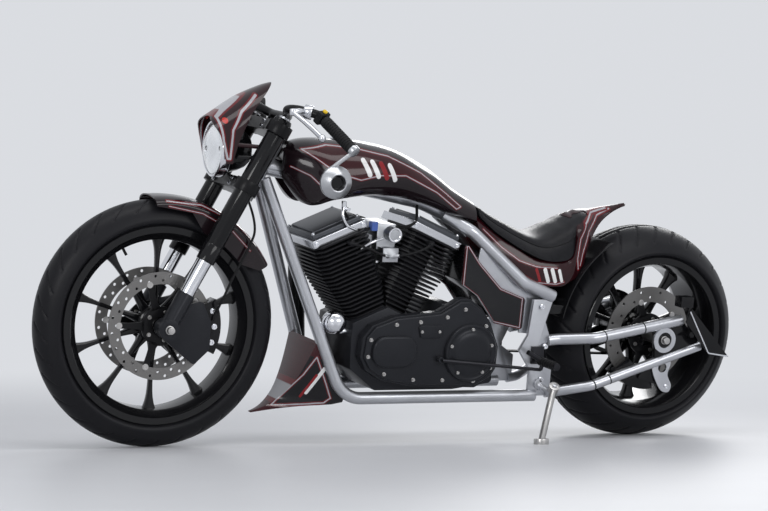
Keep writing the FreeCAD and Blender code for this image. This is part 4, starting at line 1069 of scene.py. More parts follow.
@dataclass(frozen=True)
class Wheel:
    """One wheel's sizes in millimetres.

    Attributes:
        name: the start of its nodes' names.
        body: the body that it is.
        centre: its centre on the upright machine.
        tread: the tyre's radius.
        half: the tyre's half width.
        crown: the tread's radius across.
        rim: the rim flanges' radius.
        rim_half: the rim's half width.
        well: the rim's inner radius.
        hub: the hub's radius.
        hub_ends: the hub's ends along the axle.
        bore: the axle hole's radius.
        spoke: the spokes' half widths at the root, waist and tip, and their half thickness.
    """

    name: str
    body: Body
    centre: Vector
    tread: float
    half: float
    crown: float
    rim: float
    rim_half: float
    well: float
    hub: float
    hub_ends: Pair
    bore: float
    spoke: tuple[float, float, float, float]

    def tyre(self) -> None:
        """The tyre with its slanting tread grooves."""
        edge = math.asin(0.9 * min(self.half / self.crown, 1.0))
        seat = self.rim_half - 6

        def crown_at(turn: float) -> Pair:
            """The tread's place across and its radius at an angle round the crown."""
            return self.crown * sin(turn), self.tread - self.crown * (1 - cos(turn))

        shoulder = crown_at(edge)
        wall = eased([crown_at(edge * 0.9), shoulder, (self.half, (shoulder[1] + self.rim) / 2),
                      (seat + (self.half - seat) * 0.75, self.rim + 7), (seat, self.rim + 1),
                      (seat, self.rim - BEAD_DROP)], 4)[4:]
        tread = [crown_at(edge * (2 * i / CROWN_STEPS - 1)) for i in range(1, CROWN_STEPS)]
        section = [(-y, r) for y, r in reversed(wall)] + tread + wall
        rings = []
        for step in range(TYRE_STEPS):
            out = radial(tau * step / TYRE_STEPS)
            rings.append([self.centre + out * (r - self.groove(step, y, r)) + Vector((0, y, 0))
                          for y, r in section])
        Maker.piece(self.name + "_tyre_carcass", Shape.loft(rings, True), self.body, Paint.TYRE,
                    self.name + "_tyre", 40)

    def groove(self, step: int, y: float, r: float) -> float:
        """How deep the tread is cut at one place.

        Args:
            step: the place round the tyre.
            y: the place across it.
            r: its radius.

        Returns:
            The depth in millimetres.
        """
        reach = abs(y) / self.half
        if reach > 0.86 or r < self.tread - self.crown * 0.7:
            return 0.0
        skew = GROOVE_SLANT * reach ** 1.4 * (1 if y > 0 else -1) + (SIDE_SHIFT if y > 0 else 0)
        away = abs((step + abs(skew) * 1.1 + GROOVE_PITCH * 20) % GROOVE_PITCH - GROOVE_PITCH / 2)
        slot = max(0.0, 1 - (away / GROOVE_HALF) ** 2) if 0.16 < reach < 0.8 else 0.0
        rain = max(0.0, 1 - (abs(abs(y) - self.half * 0.1) / RAIN_HALF) ** 2) if self.half > 90 else 0.0
        return GROOVE_DEPTH * max(slot, rain) ** 0.5

    def rim_piece(self) -> None:
        """The rim with its hub and flared spokes."""
        half, rim, lip, well = self.rim_half, self.rim, self.rim - BEAD_DROP, self.rim_half * 0.55
        seat = [(2 - half, rim), (6 - half, rim - 1), (6 - half, lip)]
        side = [(half, rim - 2), (half, lip - 6), (half - 5, lip - 9), (well + 6, self.well + 1),
                (well, self.well)]
        profile = seat + [(-y, r) for y, r in reversed(seat)] + side + [(-y, r) for y, r in reversed(side)]
        hoop = Shape.lathe(profile, self.centre, sides=192, wrap=True)
        low, high = self.hub_ends
        narrow, slim, wide = self.hub * 0.72, self.hub * 0.76, self.hub * 0.8
        hub = Shape.lathe([(low, self.bore), (low, narrow), (low + 3, slim), (-18, wide), (-14, self.hub - 2),
                           (-10, self.hub), (10, self.hub), (14, self.hub - 2), (18, wide), (high - 3, slim),
                           (high, narrow), (high, self.bore)], self.centre, wrap=True)
        spokes = [self.one_spoke(tau * (index + 0.5) / SPOKES) for index in range(SPOKES)]
        Maker.piece(self.name + "_rim_cast", Shape.joined([hoop, hub] + spokes), self.body, Paint.WHEEL,
                    self.name + "_rim", 38)

    def one_spoke(self, turn: float) -> Mesh:
        """A cast spoke that is slim in the middle and flares into the hoop.

        Args:
            turn: where it stands round the hub.

        Returns:
            The mesh.
        """
        root, waist, tip, thick = self.spoke
        out, along = radial(turn), Vector((-sin(turn), 0, cos(turn)))
        start, end = self.hub - 5, self.well + 4
        rings = []
        for t, half in eased([(0.0, root), (0.12, (root + waist) / 2), (0.35, waist), (0.7, waist * 1.15),
                              (0.88, (waist + tip) / 2.2), (1.0, tip)], 5):
            radius = start + (end - start) * t
            deep = thick * (1 - 0.25 * sin(pi * t))
            soft = min(half, deep) * 0.45
            ring = [(half, deep - soft), (half - soft * 0.3, deep - soft * 0.3), (half - soft, deep)]
            ring += [(-a, b) for a, b in reversed(ring)]
            ring += [(a, -b) for a, b in reversed(ring)]
            rings.append([self.centre + out * radius + along * a + Vector((0, b, 0)) for a, b in ring])
        return Shape.loft(rings)

    def valve(self) -> None:
        """The air valve in the well."""
        out = radial(1.1)
        start = self.centre + out * (self.well + 2) + Vector((0, 14, 0))
        stem = Shape.rod(start, start - out * 26 + Vector((0, 8, 0)), 4, 1)
        Maker.settle(self.name + "_valve", stem, self.body, Paint.RUBBER)


def wheels() -> list[Wheel]:
    """Lay out the front and the rear wheel.

    Returns:
        The wheels.
    """
    return [Wheel("front", Body.FRONT_WHEEL, FRONT_AXLE, 350.5, 62, 62, 281, 56, 240, 52, (-56.5, 56.5), 12.6,
                  (15, 6.0, 20, 11)),
            Wheel("rear", Body.REAR_WHEEL, REAR_AXLE, 324.5, 119, 140, 243, 113, 206, 58, (-124, 75.5), 12.6,
                  (17, 8.5, 24, 16))]


ARMS = 5


@dataclass(frozen=True)
class Disc:
    """A drilled brake disc on a dark carrier, with its sizes in millimetres.

    Attributes:
        name: the start of its pieces' names.
        body: the wheel that carries it.
        centre: its centre on the upright machine.
        node: the node that it stands for.
        outer: the ring's outer radius.
        inner: its inner radius.
        bore: the hole's radius.
        row_holes: how many holes each row has.
    """

    name: str
    body: Body
    centre: Vector
    node: str
    outer: float
    inner: float
    bore: float
    row_holes: int

    def build(self) -> None:
        """Make the ring by geometry nodes, then its carrier, bobbins and bolts."""
        mesh = Hardware.drilled_ring(self.outer * MM, self.inner * MM, 5.0 * MM, self.row_holes, 4.4 * MM,
                                     Paint.DISC)
        face = self.centre - Vector((0, 2.5, 0))
        mesh.transform(STANCE.matrix(self.body) @ Matrix.Translation(face) @ Matrix.Rotation(-pi / 2, 4, "X")
                       @ Matrix.Scale(1 / MM, 4))
        Maker.crease(mesh, 30)
        ring = Maker.settle(self.name, mesh, self.body, Paint.DISC, placed=True)
        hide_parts(self.node)
        meshes = [Shape.lathe([(-2.4, self.bore), (-2.4, self.bore + 30), (2.0, self.bore + 30),
                               (2.4, self.bore + 29), (2.4, self.bore)], self.centre, wrap=True)]
        widths = eased([(self.bore + 22, 20), (self.bore + 34, 11), (self.inner - 6, 8),
                        (self.inner + 9, 12)], 4)
        for turn in (tau * index / ARMS for index in range(ARMS)):
            out, along = radial(turn), Vector((-sin(turn), 0, cos(turn)))
            rings = []
            for radius, half in widths:
                edge = [(half, -2.4), (half, 1.6), (half - 1, 2.4), (1 - half, 2.4), (-half, 1.6),
                        (-half, -2.4)]
                rings.append([self.centre + out * radius + along * a + Vector((0, b, 0)) for a, b in edge])
            meshes.append(Shape.loft(rings))
        Maker.piece(self.name + "_carrier", Shape.joined(meshes), self.body, Paint.BLACK_SATIN, self.node, 30)
        for part, reach, shift, radius, height in (("_bobbins", self.inner + 3, 0.0, 9.0, 2.0),
                                                   ("_bolts", self.bore + 15, 0.5, 6.0, 5.0)):
            spots = [self.centre + radial(tau * (i + shift) / ARMS) * reach + Vector((0, 2.4, 0))
                     for i in range(ARMS)]
            Hardware.bolts(self.name + part, spots, radius, height, body=self.body, finish=Paint.STEEL)


class Hardware:
    """Repeated pieces made by geometry nodes."""

    @staticmethod
    def tree(name: str, numbers: dict[str, float], vectors: Sequence[str] = ()) -> tuple[NodeTree, Graph]:
        """A geometry node tree with named inputs.

        Args:
            name: the tree's name.
            numbers: number inputs with their values.
            vectors: vector inputs.

        Returns:
            The tree and its writer.
        """
        tree = bpy.data.node_groups.new(name, "GeometryNodeTree")
        tree.interface.new_socket("Geometry", in_out="INPUT", socket_type="NodeSocketGeometry")
        for label, value in numbers.items():
            kind = "NodeSocketInt" if isinstance(value, int) else "NodeSocketFloat"
            tree.interface.new_socket(label, in_out="INPUT", socket_type=kind).default_value = value
        for label in vectors:
            tree.interface.new_socket(label, in_out="INPUT", socket_type="NodeSocketVector")
        tree.interface.new_socket("Material", in_out="INPUT", socket_type="NodeSocketMaterial")
        tree.interface.new_socket("Geometry", in_out="OUTPUT", socket_type="NodeSocketGeometry")
        return tree, Graph(tree)

    @staticmethod
    def finish_tree(graph: Graph, source: Node, shape: NodeSocket) -> None:
        """Give a tree's shape the input material and send it out.

        Args:
            graph: the tree's nodes.
            source: its input.
            shape: the shape.
        """
        target = graph.node("NodeGroupOutput")
        dressed = graph.made("GeometryNodeSetMaterial", Geometry=shape, Material=source.outputs["Material"])
        graph.join(dressed, target.inputs[0])

    @staticmethod
    def run(tree: NodeTree, mesh: Mesh, **values: object) -> Mesh:
        """Run a tree on a mesh and keep the plain result.

        Args:
            tree: the tree.
            mesh: the mesh.
            values: its inputs by name, in small letters with underscores for spaces.

        Returns:
            The new mesh.
        """
        draft = Maker.draft(tree.name, mesh)
        step = draft.modifiers.new(tree.name, "NODES")
        step.node_group = tree
        for socket in tree.interface.items_tree:
            key = socket.name.replace(" ", "_").lower()
            if socket.in_out == "INPUT" and key in values:
                step[socket.identifier] = values[key]
        return Maker.baked(draft)

    @staticmethod
    def drilled_ring(outer: float, inner: float, thick: float, holes: int, hole: float,
                     finish: Finish) -> Mesh:
        """A flat ring with two staggered rows of holes, all in metres.

        Args:
            outer: its outer radius.
            inner: its inner radius.
            thick: its thickness.
            holes: how many holes a row has.
            hole: the holes' radius.
            finish: its finish.

        Returns:
            The mesh.
        """
        tree = bpy.data.node_groups.get("Drilled ring") or Hardware.write_ring()
        return Hardware.run(tree, bpy.data.meshes.new("ring"), outer=outer, inner=inner, thickness=thick,
                            holes=holes, hole_radius=hole, material=finish.material())

    @staticmethod
    def write_ring() -> NodeTree:
        """Write the tree of a drilled ring.

        Returns:
            The tree.
        """
        tree, graph = Hardware.tree("Drilled ring", {"Outer": 0.15, "Inner": 0.11, "Thickness": 0.005,
                                                     "Holes": 20, "Hole radius": 0.004})
        source = graph.node("NodeGroupInput")
        size = source.outputs
        outer, inner, dot = (graph.made("GeometryNodeCurvePrimitiveCircle", Resolution=steps,
                                        Radius=size[edge])
                             for edge, steps in (("Outer", 160), ("Inner", 160), ("Hole radius", 14)))
        width = graph.maths("SUBTRACT", size["Outer"], size["Inner"])
        rows = []
        for share, twist in ((0.3, 0.0), (0.7, 0.5)):
            radius = graph.maths("ADD", size["Inner"], graph.maths("MULTIPLY", width, share))
            row = graph.made("GeometryNodeMeshCircle", Vertices=size["Holes"], Radius=radius)
            turn = graph.made("ShaderNodeCombineXYZ", Z=graph.maths("DIVIDE", tau * twist, size["Holes"]))
            turned = graph.made("GeometryNodeTransform", Geometry=row, Rotation=turn)
            rows.append(graph.made("GeometryNodeInstanceOnPoints", Points=turned, Instance=dot))
        curves = graph.together("GeometryNodeJoinGeometry", *rows, outer, inner)
        solid = graph.made("GeometryNodeRealizeInstances", Geometry=curves)
        flat = graph.made("GeometryNodeFillCurve", Curve=solid)
        raised = graph.made("GeometryNodeExtrudeMesh", Mesh=flat, Offset_Scale=size["Thickness"],
                            Individual=False)
        under = graph.made("GeometryNodeFlipFaces", Mesh=flat)
        whole = graph.together("GeometryNodeJoinGeometry", raised, under)
        merged = graph.made("GeometryNodeMergeByDistance", Geometry=whole, Distance=1e-6)
        Hardware.finish_tree(graph, source, merged)
        return tree

    @staticmethod
    def bolts(name: str, spots: Points, radius: float, height: float, way: Sequence[float] = (0, 1, 0),
              body: Body = Body.FRAME, finish: Finish = Paint.CHROME, fork_axes: bool = False) -> Object:
        """Socket-head bolts at some places, all pointing one way.

        Args:
            name: the piece's name.
            spots: the places on the upright machine.
            radius: the heads' radius.
            height: the heads' height.
            way: where the heads point.
            body: the body that carries them.
            finish: their finish.
            fork_axes: whether the places and way are in fork axes.

        Returns:
            The piece.
        """
        tree = bpy.data.node_groups.get("Bolt heads") or Hardware.write_bolts()
        matrix = STANCE.matrix(body)
        if fork_axes:
            matrix = matrix @ Matrix.Translation(FRONT_AXLE) @ Matrix.Rotation(-RAKE, 4, "Y")
        points = bpy.data.meshes.new("spots")
        points.from_pydata([tuple(matrix @ Vector(spot)) for spot in spots], [], [])
        heading = (matrix.to_3x3() @ Vector(way)).normalized()
        mesh = Hardware.run(tree, points, radius=radius * MM, height=height * MM, direction=tuple(heading),
                            material=finish.material())
        Maker.crease(mesh, 30)
        return Maker.settle(name, mesh, body, finish, placed=True)

    @staticmethod
    def write_bolts() -> NodeTree:
        """Write the tree of round heads with a hexagonal socket and a washer.

        Returns:
            The tree.
        """
        tree, graph = Hardware.tree("Bolt heads", {"Radius": 0.006, "Height": 0.005}, ("Direction",))
        source = graph.node("NodeGroupInput")
        radius, height = source.outputs["Radius"], source.outputs["Height"]
        head, cavity = (graph.made("GeometryNodeMeshCylinder", Vertices=sides, Depth=height,
                                   Radius=graph.maths("MULTIPLY", radius, share))
                        for sides, share in ((24, 0.8), (6, 0.44)))
        half = graph.made("ShaderNodeCombineXYZ", Z=graph.maths("MULTIPLY", height, 0.5))
        raised = graph.made("GeometryNodeTransform", Geometry=cavity, Translation=half)
        cut = graph.together("GeometryNodeMeshBoolean", head, raised, operation="DIFFERENCE")
        up = graph.made("GeometryNodeTransform", Geometry=cut, Translation=half)
        washer = graph.made("GeometryNodeMeshCylinder", Vertices=24, Radius=radius,
                            Depth=graph.maths("MULTIPLY", height, 0.3))
        bolt = graph.together("GeometryNodeJoinGeometry", up, washer)
        aim = graph.node("FunctionNodeAlignRotationToVector", axis="Z")
        graph.feed(aim, Vector=source.outputs["Direction"])
        placed = graph.made("GeometryNodeInstanceOnPoints", Points=source.outputs["Geometry"], Instance=bolt,
                            Rotation=aim.outputs[0])
        Hardware.finish_tree(graph, source, graph.made("GeometryNodeRealizeInstances", Geometry=placed))
        return tree


LIVERY_RED = (0.24, 0.012, 0.016)
WHITE = (0.8, 0.8, 0.8)


def painted(name: str, body: Body, stripes: Sequence[Stripe],
            colour: Triple = (0.012, 0.007, 0.009)) -> Finish:
    """The gloss paint of one body piece, with lines drawn on the machine as its body stands."""
    return Finish(name, colour, "body_paint", 0.15, 0.0, 0.35, depth=0.004, dust=0.0, scuffs=0.02,
                  stripes=tuple(stripes), body=body)


SEAT_RAIL = [(-92, 22, 674), (-160, 72, 634), (-330, 112, 488), (-432, 112, 449)]


def bars(core: Triple, width: float, *lines: tuple[Pair, Pair]) -> list[Stripe]:
    """Plain slanted bars of one colour and width."""
    return [Stripe(line, width, 0, core=core) for line in lines]


@dataclass
class Bodywork:
    """The tank, seat, front fender, fairing, cowl, spoiler and panels.

    Attributes:
        tank_rows: stations of the tank: X, ridge, half width, crease and lower edge.
        saddle_rows: stations of the saddle: X, top, half width and lower edge.
        cowl_rows: stations of the cowl: X, ridge, then half width and height of shoulder and edge.
        chin_rows: stations of the chin spoiler: its front and its rear edge as X, Y, Z.
    """

    tank_rows: tuple[tuple[float, ...], ...] = (
        (452, 868, 46, 822, 776), (380, 886, 112, 792, 704), (300, 888, 128, 764, 720),
        (200, 883, 129, 784, 734), (90, 862, 118, 781, 730), (-20, 813, 95, 732, 704),
        (-110, 756, 72, 688, 674), (-182, 716, 56, 664, 656))
    saddle_rows: tuple[tuple[float, ...], ...] = (
        (-196, 706, 46, 676), (-260, 673, 70, 622), (-380, 629, 108, 560),
        (-470, 657, 110, 556), (-510, 676, 96, 588), (-545, 690, 74, 628),
        (-574, 694, 48, 660))
    cowl_rows: tuple[tuple[float, ...], ...] = (
        (-188, 700, 50, 664, 60, 640), (-258, 650, 70, 616, 80, 556),
        (-315, 610, 88, 584, 96, 510), (-370, 590, 103, 556, 107, 482),
        (-440, 600, 109, 549, 111, 478), (-468, 612, 109, 549, 111, 481),
        (-496, 640, 105, 566, 108, 496), (-510, 680, 101, 636, 105, 502),
        (-532, 690, 94, 652, 100, 517), (-552, 696, 80, 666, 92, 591),
        (-600, 699, 46, 683, 62, 655), (-660, 708, 24, 700, 32, 690),
        (-724, 717, 5, 714, 7, 710))
    chin_rows: tuple[tuple[float, ...], ...] = (
        (328, 92, 314, 316, 102, 306), (349, 74, 248, 285, 104, 232),
        (371, 57, 195, 262, 107, 190), (399, 37, 151, 240, 106, 139),
        (433, 20, 119, 356, 70, 122), (462, 9, 103, 420, 28, 106),
        (486, 3, 95, 480, 5, 92))

    def build(self) -> None:
        """Make every body piece."""
        self.tank()
        self.seat()
        self.cowl()
        self.chin()
        self.panels()
        self.front_fender()
        self.fairing()

    def place(self, node: str, mesh: Mesh, body: Body, finish: Finish, angle: float = 35.0) -> Object:
        """Shade a body piece and let it stand for its node."""
        return Maker.piece(node + "_shell", mesh, body, finish, node, angle)

    @staticmethod
    def tank_ring(row: Sequence[float]) -> Ring:
        """One tank section with an arched top, a creased flank and rounded lower corners.

        Args:
            row: the section's row of tank_rows.

        Returns:
            The section.
        """
        x, ridge, half, crease, low = row
        arch = [(half * cos(turn), crease + (ridge - crease) * sin(turn) ** 0.85)
                for turn in (pi * step / 36 for step in range(37))]
        flank = [(0.985, 0.86), (0.93, 0.62), (0.84, 0.38), (0.72, 0.14), (0.62, 0.03), (0.52, 0.0)]
        right = [Vector((x, -half * out, low + (crease - low) * up)) for out, up in flank]
        return [Vector((x, y, z)) for y, z in arch] + right + facing(right)

    def tank(self) -> None:
        """The tank with its tunnel, its neck relief and room for the upper yoke."""
        body = Shape.loft([self.tank_ring(row) for row in eased(self.tank_rows, 16)])
        axis, neck = STANCE.axis, STANCE.neck / MM
        cutters = [Shape.rod(neck - axis * 60, neck + axis * 240, 36)]
        spine = [(574, 804), (487, 829), (140, 770), (-20, 740), (-108, 704), (-284, 632), (-284, 560),
                 (574, 560)]
        cutters.append(Shape.slab(spine, -28, 28))
        cutters += [Shape.pipe(way, 22, 60) for way in both(SEAT_RAIL[:3])]
        cutters += [self.yoke_room(turn) for turn in (-27, -13, 0, 13, 27)]
        lines = [
            Stripe(((412, 862), (337, 876), (248, 870), (150, 852), (40, 806), (-60, 744), (-118, 706),
                    (-100, 700), (-20, 750), (100, 800), (190, 800), (250, 786), (330, 806)), 2.8, 2.6, True),
            Stripe(((440, 812), (396, 792), (372, 770)), 2.5, 2.0),
            *bars(WHITE, 15, ((238, 840), (222, 802)), ((210, 836), (194, 798))),
            *bars(LIVERY_RED, 15, ((182, 832), (166, 794))), *bars(WHITE, 15, ((154, 827), (138, 789)))]
        finish = painted("tank paint", Body.FRAME, lines)
        mesh = Shape.carved(body, cutters)
        self.zone(mesh, finish, lines[0].points, (0.035, 0.004, 0.006))
        self.place("fuel_tank", mesh, Body.FRAME, finish, 50)
        cap = Shape.lathe([(0, 30), (5, 30), (8, 27), (9, 0.5)], (262, 0, 884), (0, 0, 1), 48)
        Maker.piece("filler_cap", cap, Body.FRAME, Paint.CHROME)

    @staticmethod
    def yoke_room(turn: float) -> Mesh:
        """The room of the upper yoke at one steering angle.

        Args:
            turn: the angle in degrees.

        Returns:
            The mesh.
        """
        low, high, reach, leg = 614.0, 676.0, 41.5, 115
        out, side = reach * 0.8, leg + reach * 0.6
        hull = [(0, -leg - reach), (out, -side), (reach, -leg), (reach, leg), (out, side), (0, leg + reach),
                (-out, side), (-86, 20), (-86, -20), (-out, -side)]
        mesh = Shape.fork(Shape.loft([[Vector((x, y, z)) for x, y in hull] for z in (low, high)]))
        neck = STANCE.neck / MM
        turned = Matrix.Rotation(radians(turn), 4, STANCE.axis)
        mesh.transform(Matrix.Translation(neck) @ turned @ Matrix.Translation(-neck))
        return mesh

    @staticmethod
    def zone(mesh: Mesh, finish: Finish, outline: Sequence[Pair], colour: Triple) -> None:
        """Give the faces inside an outline in side view the same paint on another ground.

        Args:
            mesh: the mesh to paint.
            finish: the paint of the rest.
            outline: the outline.
            colour: the ground colour inside it.
        """
        mesh.materials.clear()
        mesh.materials.append(finish.material())
        mesh.materials.append(replace(finish, name=finish.name + " inside", colour=colour).material())
        for face in mesh.polygons:
            face.material_index = int(Shape.inside(face.center.x, face.center.z, outline))

    def saddle_rings(self, grow: float, steps: int) -> list[Ring]:
        """The saddle's sections.

        Args:
            grow: how much bigger than the saddle they are.
            steps: how many sections a gap between two rows becomes.

        Returns:
            The sections.
        """
        rings = []
        front, back = self.saddle_rows[0][0], self.saddle_rows[-1][0]
        across = [(-1.0, 0.0), (-0.985, 0.2), (-0.93, 0.52), (-0.8, 0.74), (-0.6, 0.87), (-0.3, 0.955),
                  (0.0, 1.0)]
        fine = eased(across + [(-a, b) for a, b in reversed(across[:-1])], 3)
        for x, top, half, low in eased(self.saddle_rows, steps):
            x += grow * ((x == front) - (x == back))
            top, half, low = top + grow, half + grow, low - grow
            rings.append([Vector((x, half * a, low + (top - low) * b)) for a, b in fine])
        return rings

    def seat(self) -> None:
        """The padded saddle with a stitched seam along each edge."""
        rings = self.saddle_rings(-0.6, 14)
        for index, ring in enumerate(rings):
            from_end = min(index, len(rings) - 1 - index)
            pull = max(0.0, 1 - from_end / 3.0) * 5
            for point in ring:
                middle = Vector((point.x, 0, sum(p.z for p in ring) / len(ring)))
                point += (middle - point).normalized() * pull
        seat = Maker.piece("seat_pad", Shape.loft(rings), Body.FRAME, Paint.LEATHER, "seat", 60)
        rows, out, up = eased(self.saddle_rows, 14)[5:-4], 0.93, 0.52
        for number, side in enumerate((1, -1), 1):
            line = [(x, side * half * out * 0.995, low + (top - low) * up) for x, top, half, low in rows]
            Maker.piece(f"seat_seam_{number}", Shape.pipe(line, 1.7, 0.0, 8), Body.FRAME, Paint.THREAD,
                        angle=60)

    def cowl(self) -> None:
        """The body under and behind the saddle."""
        rings = []
        for x, ridge, shoulder, shoulder_z, edge, edge_z in eased(self.cowl_rows, 5):
            side = [Vector((x, y, z)) for y, z in (
                (edge, edge_z), (edge + 1.5, edge_z + 5), (shoulder + 1, shoulder_z - 6),
                (shoulder - 3, shoulder_z),
                (shoulder * 0.5, shoulder_z + (ridge - shoulder_z) * 0.6))]
            rings.append(side + [Vector((x, 0, ridge))] + facing(side))
        cutters = [Shape.lathe([(-160, 339.5), (160, 339.5)], REAR_AXLE, sides=180),
                   Shape.loft(self.saddle_rings(0.5, 10))]
        cutters += [Shape.pipe(way, 19.2, 60) for way in both(SEAT_RAIL)]
        lines = [
            Stripe(((-660, 702), (-604, 684), (-556, 640), (-534, 585), (-524, 540)), 3.0, 4.0),
            Stripe(((-650, 703), (-590, 690), (-546, 664), (-519, 620), (-512, 560), (-517, 530)), 3.0, 4.0),
            Stripe(((-126, 690), (-200, 622), (-258, 563), (-315, 518), (-370, 490), (-439, 485),
                    (-466, 492)), 2.5, 3.0),
            Stripe(((-205, 640), (-262, 590), (-318, 552), (-372, 536), (-440, 533)), 2.0, 3.0),
            *bars(WHITE, 12, ((-400, 528), (-412, 494)), ((-424, 528), (-436, 494))),
            *bars(WHITE, 10, ((-448, 526), (-458, 496))), *bars(LIVERY_RED, 9, ((-372, 528), (-384, 496)))]
        mesh = Shape.carved(Shape.loft(rings), cutters)
        self.place("tail_cowl", mesh, Body.FRAME,
                   painted("cowl paint", Body.FRAME, lines, (0.022, 0.003, 0.005)))

    def chin(self) -> None:
        """The wedge ahead of the cradle."""
        rings = []
        for fx, fy, fz, rx, ry, rz in eased(self.chin_rows, 3):
            side = [Vector((fx, fy, fz)), Vector((rx, ry, rz))]
            rings.append(side + facing(side))
        cutters = [Shape.pipe(way, 18.2, 90)
                   for way in both([(503, 26, 770), (245, 112, 151), (-396, 112, 151)])]
        lines = [Stripe(((324, 268), (352, 214), (398, 152), (426, 118), (290, 134), (272, 148)), 3.2, 2.6,
                        True),
                 *bars(WHITE, 10, ((300, 236), (338, 160))), *bars(LIVERY_RED, 7, ((318, 214), (352, 148)))]
        mesh = Shape.softened(Shape.carved(Shape.loft(rings), cutters), 1.2, 40)
        finish = painted("chin paint", Body.FRAME, lines, (0.045, 0.005, 0.008))
        self.zone(mesh, finish, lines[0].points, (0.008, 0.007, 0.009))
        self.place("chin_spoiler", mesh, Body.FRAME, finish, 30)

    def panels(self) -> None:
        """The side panels with their pale lines, and the silver gussets behind them."""
        outline = [(-128, 612), (-180, 548), (-262, 470), (-346, 440), (-344, 346), (-246, 366), (-222, 396),
                   (-180, 448), (-126, 482)]
        mesh = Shape.mirrored(Shape.slab(Shape.rounded(outline, 9, 4), 92, 100, 2.0))
        lines = [Stripe(tuple((x * 0.93 - 14, z * 0.93 + 31) for x, z in outline), 2.5, 2.0, True)]
        finish = painted("panel paint", Body.FRAME, lines, (0.03, 0.004, 0.006))
        self.zone(mesh, finish, lines[0].points, (0.008, 0.008, 0.01))
        self.place("side_panels", mesh, Body.FRAME, finish)
        gusset = [(-186, 590), (-254, 540), (-330, 486), (-404, 462), (-404, 330), (-338, 336), (-338, 434),
                  (-258, 462), (-176, 540)]
        mesh = Shape.mirrored(Shape.slab(gusset, 85, 91, 1.0))
        Maker.piece("rail_gussets", mesh, Body.FRAME, Paint.SILVER)

    def front_fender(self) -> None:
        """The fender that hugs the front tyre, with its pale lines."""
        half, crown, skirt, wall = 74.0, 362.5, 284.5, 3.5
        inner = eased([(half, skirt), (half, 330), (half * 0.96, 344), (half * 0.8, 353), (half * 0.5, 359.5),
                       (0, crown)], 5)
        side = inner + [(-y, r) for y, r in reversed(inner[:-1])]
        outer = [(y + wall * max(-1.0, min(1.0, y / half)), r + wall * min(1.0, (r - skirt) / 40))
                 for y, r in side]
        section = [Vector((y, r)) for y, r in side] + [Vector((y, r)) for y, r in reversed(outer)]
        rings = []
        for step in range(91):
            out = radial(radians(84 + 66 * step / 90))
            rings.append([out * p.y + Vector((0, p.x, 0)) for p in section])
        keep = Shape.slab([(60, 340.5), (60, 420.5), (-420.5, 420.5), (-420.5, 120), (-150, 200),
                           (-70, 320.5)],
                          -90, 90)
        mesh = Shape.carved(Shape.loft(rings), [keep], True)
        stays = [Shape.rod((0, 75, 304.5), (0, 96, 304.5), 9), Shape.rod((0, -96, 304.5), (0, -75, 304.5), 9)]
        for stay in stays:
            stay.transform(Matrix.Rotation(-RAKE, 4, "Y"))
        mesh = Shape.joined([mesh] + stays)
        mesh.transform(Matrix.Translation(FRONT_AXLE))
        lines = [Stripe(((806, 704), (700, 694), (600, 650), (530, 590), (470, 505)), 3.0, 3.0),
                 Stripe(((800, 690), (700, 672), (612, 628), (552, 570)), 2.0, 2.5)]
        self.place("front_fender", mesh, Body.FORK, painted("fender paint", Body.FORK, lines))

    def fairing(self) -> None:
        """The small mask over the lamp, drawn up to a point."""
        place = FRONT_AXLE + Vector((-126, 0, 496))
        stations = eased([(10, 93, 88), (-80, 96, 150), (-150, 62, 184), (-190, 26, 196)], 10)
        skins = []
        for thick in (0.0, 4.0):
            rings = []
            for x, half, crown in stations:
                half, crown, foot = half - thick, crown - thick, -80 - thick
                rise = half * 0.8
                top = [(half * cos(turn), crown - rise + rise * sin(turn))
                       for turn in (pi * i / 28 for i in range(29))]
                rings.append([Vector((x, y, z)) for y, z in [(-half, foot), (half, foot)] + top])
            skins.append(Shape.loft(rings))
        trim_line = eased([(-184, 196), (-120, 172), (-40, 122), (4, 84), (-8, 44), (-18, 10), (-28, -34)], 4)
        trim_line += eased([(-46, -34), (-54, 0), (-66, 40), (-100, 108), (-150, 162), (-184, 196)], 4)[:-1]
        skins[1].transform(Matrix.Translation((0.01, 0, 0)))
        shell = Shape.carved(skins[0], [skins[1]])
        shell = Shape.carved(shell, [Shape.slab(trim_line, -120, 120)], True)
        stays = [Shape.rod((-45, side * 90, 20), (-140, side * 107, 16), 6) for side in (1, -1)]
        mesh = Shape.joined([shell] + stays)
        mesh.transform(Matrix.Translation(place))
        x, z = place.x, place.z
        lines = [Stripe(((x - 98, z + 166), (x - 30, z + 112), (x - 8, z + 92), (x - 16, z + 30),
                         (x - 30, z - 20), (x - 38, z - 20), (x - 42, z + 60), (x - 70, z + 112),
                         (x - 120, z + 158)), 6.0, 3.5),
                 Stripe(((x - 24, z + 84), (x - 25, z + 86)), 14, 0, core=(0.5, 0.03, 0.02))]
        self.place("fairing", mesh, Body.FORK,
                   painted("fairing paint", Body.FORK, lines, (0.02, 0.006, 0.008)), 45)


def place_pipe(node: str, ways: Sequence[Sequence[Triple]], radius: float, bend: float, finish: Finish,
               extra: Sequence[Mesh] = ()) -> None:
    """Smooth bent bars, and any more meshes of the same piece, that stand for one node."""
    mesh = Shape.joined([Shape.pipe(way, radius, bend) for way in ways] + list(extra))
    Maker.piece(node + "_bars", mesh, body_of(node), finish, node, 40)


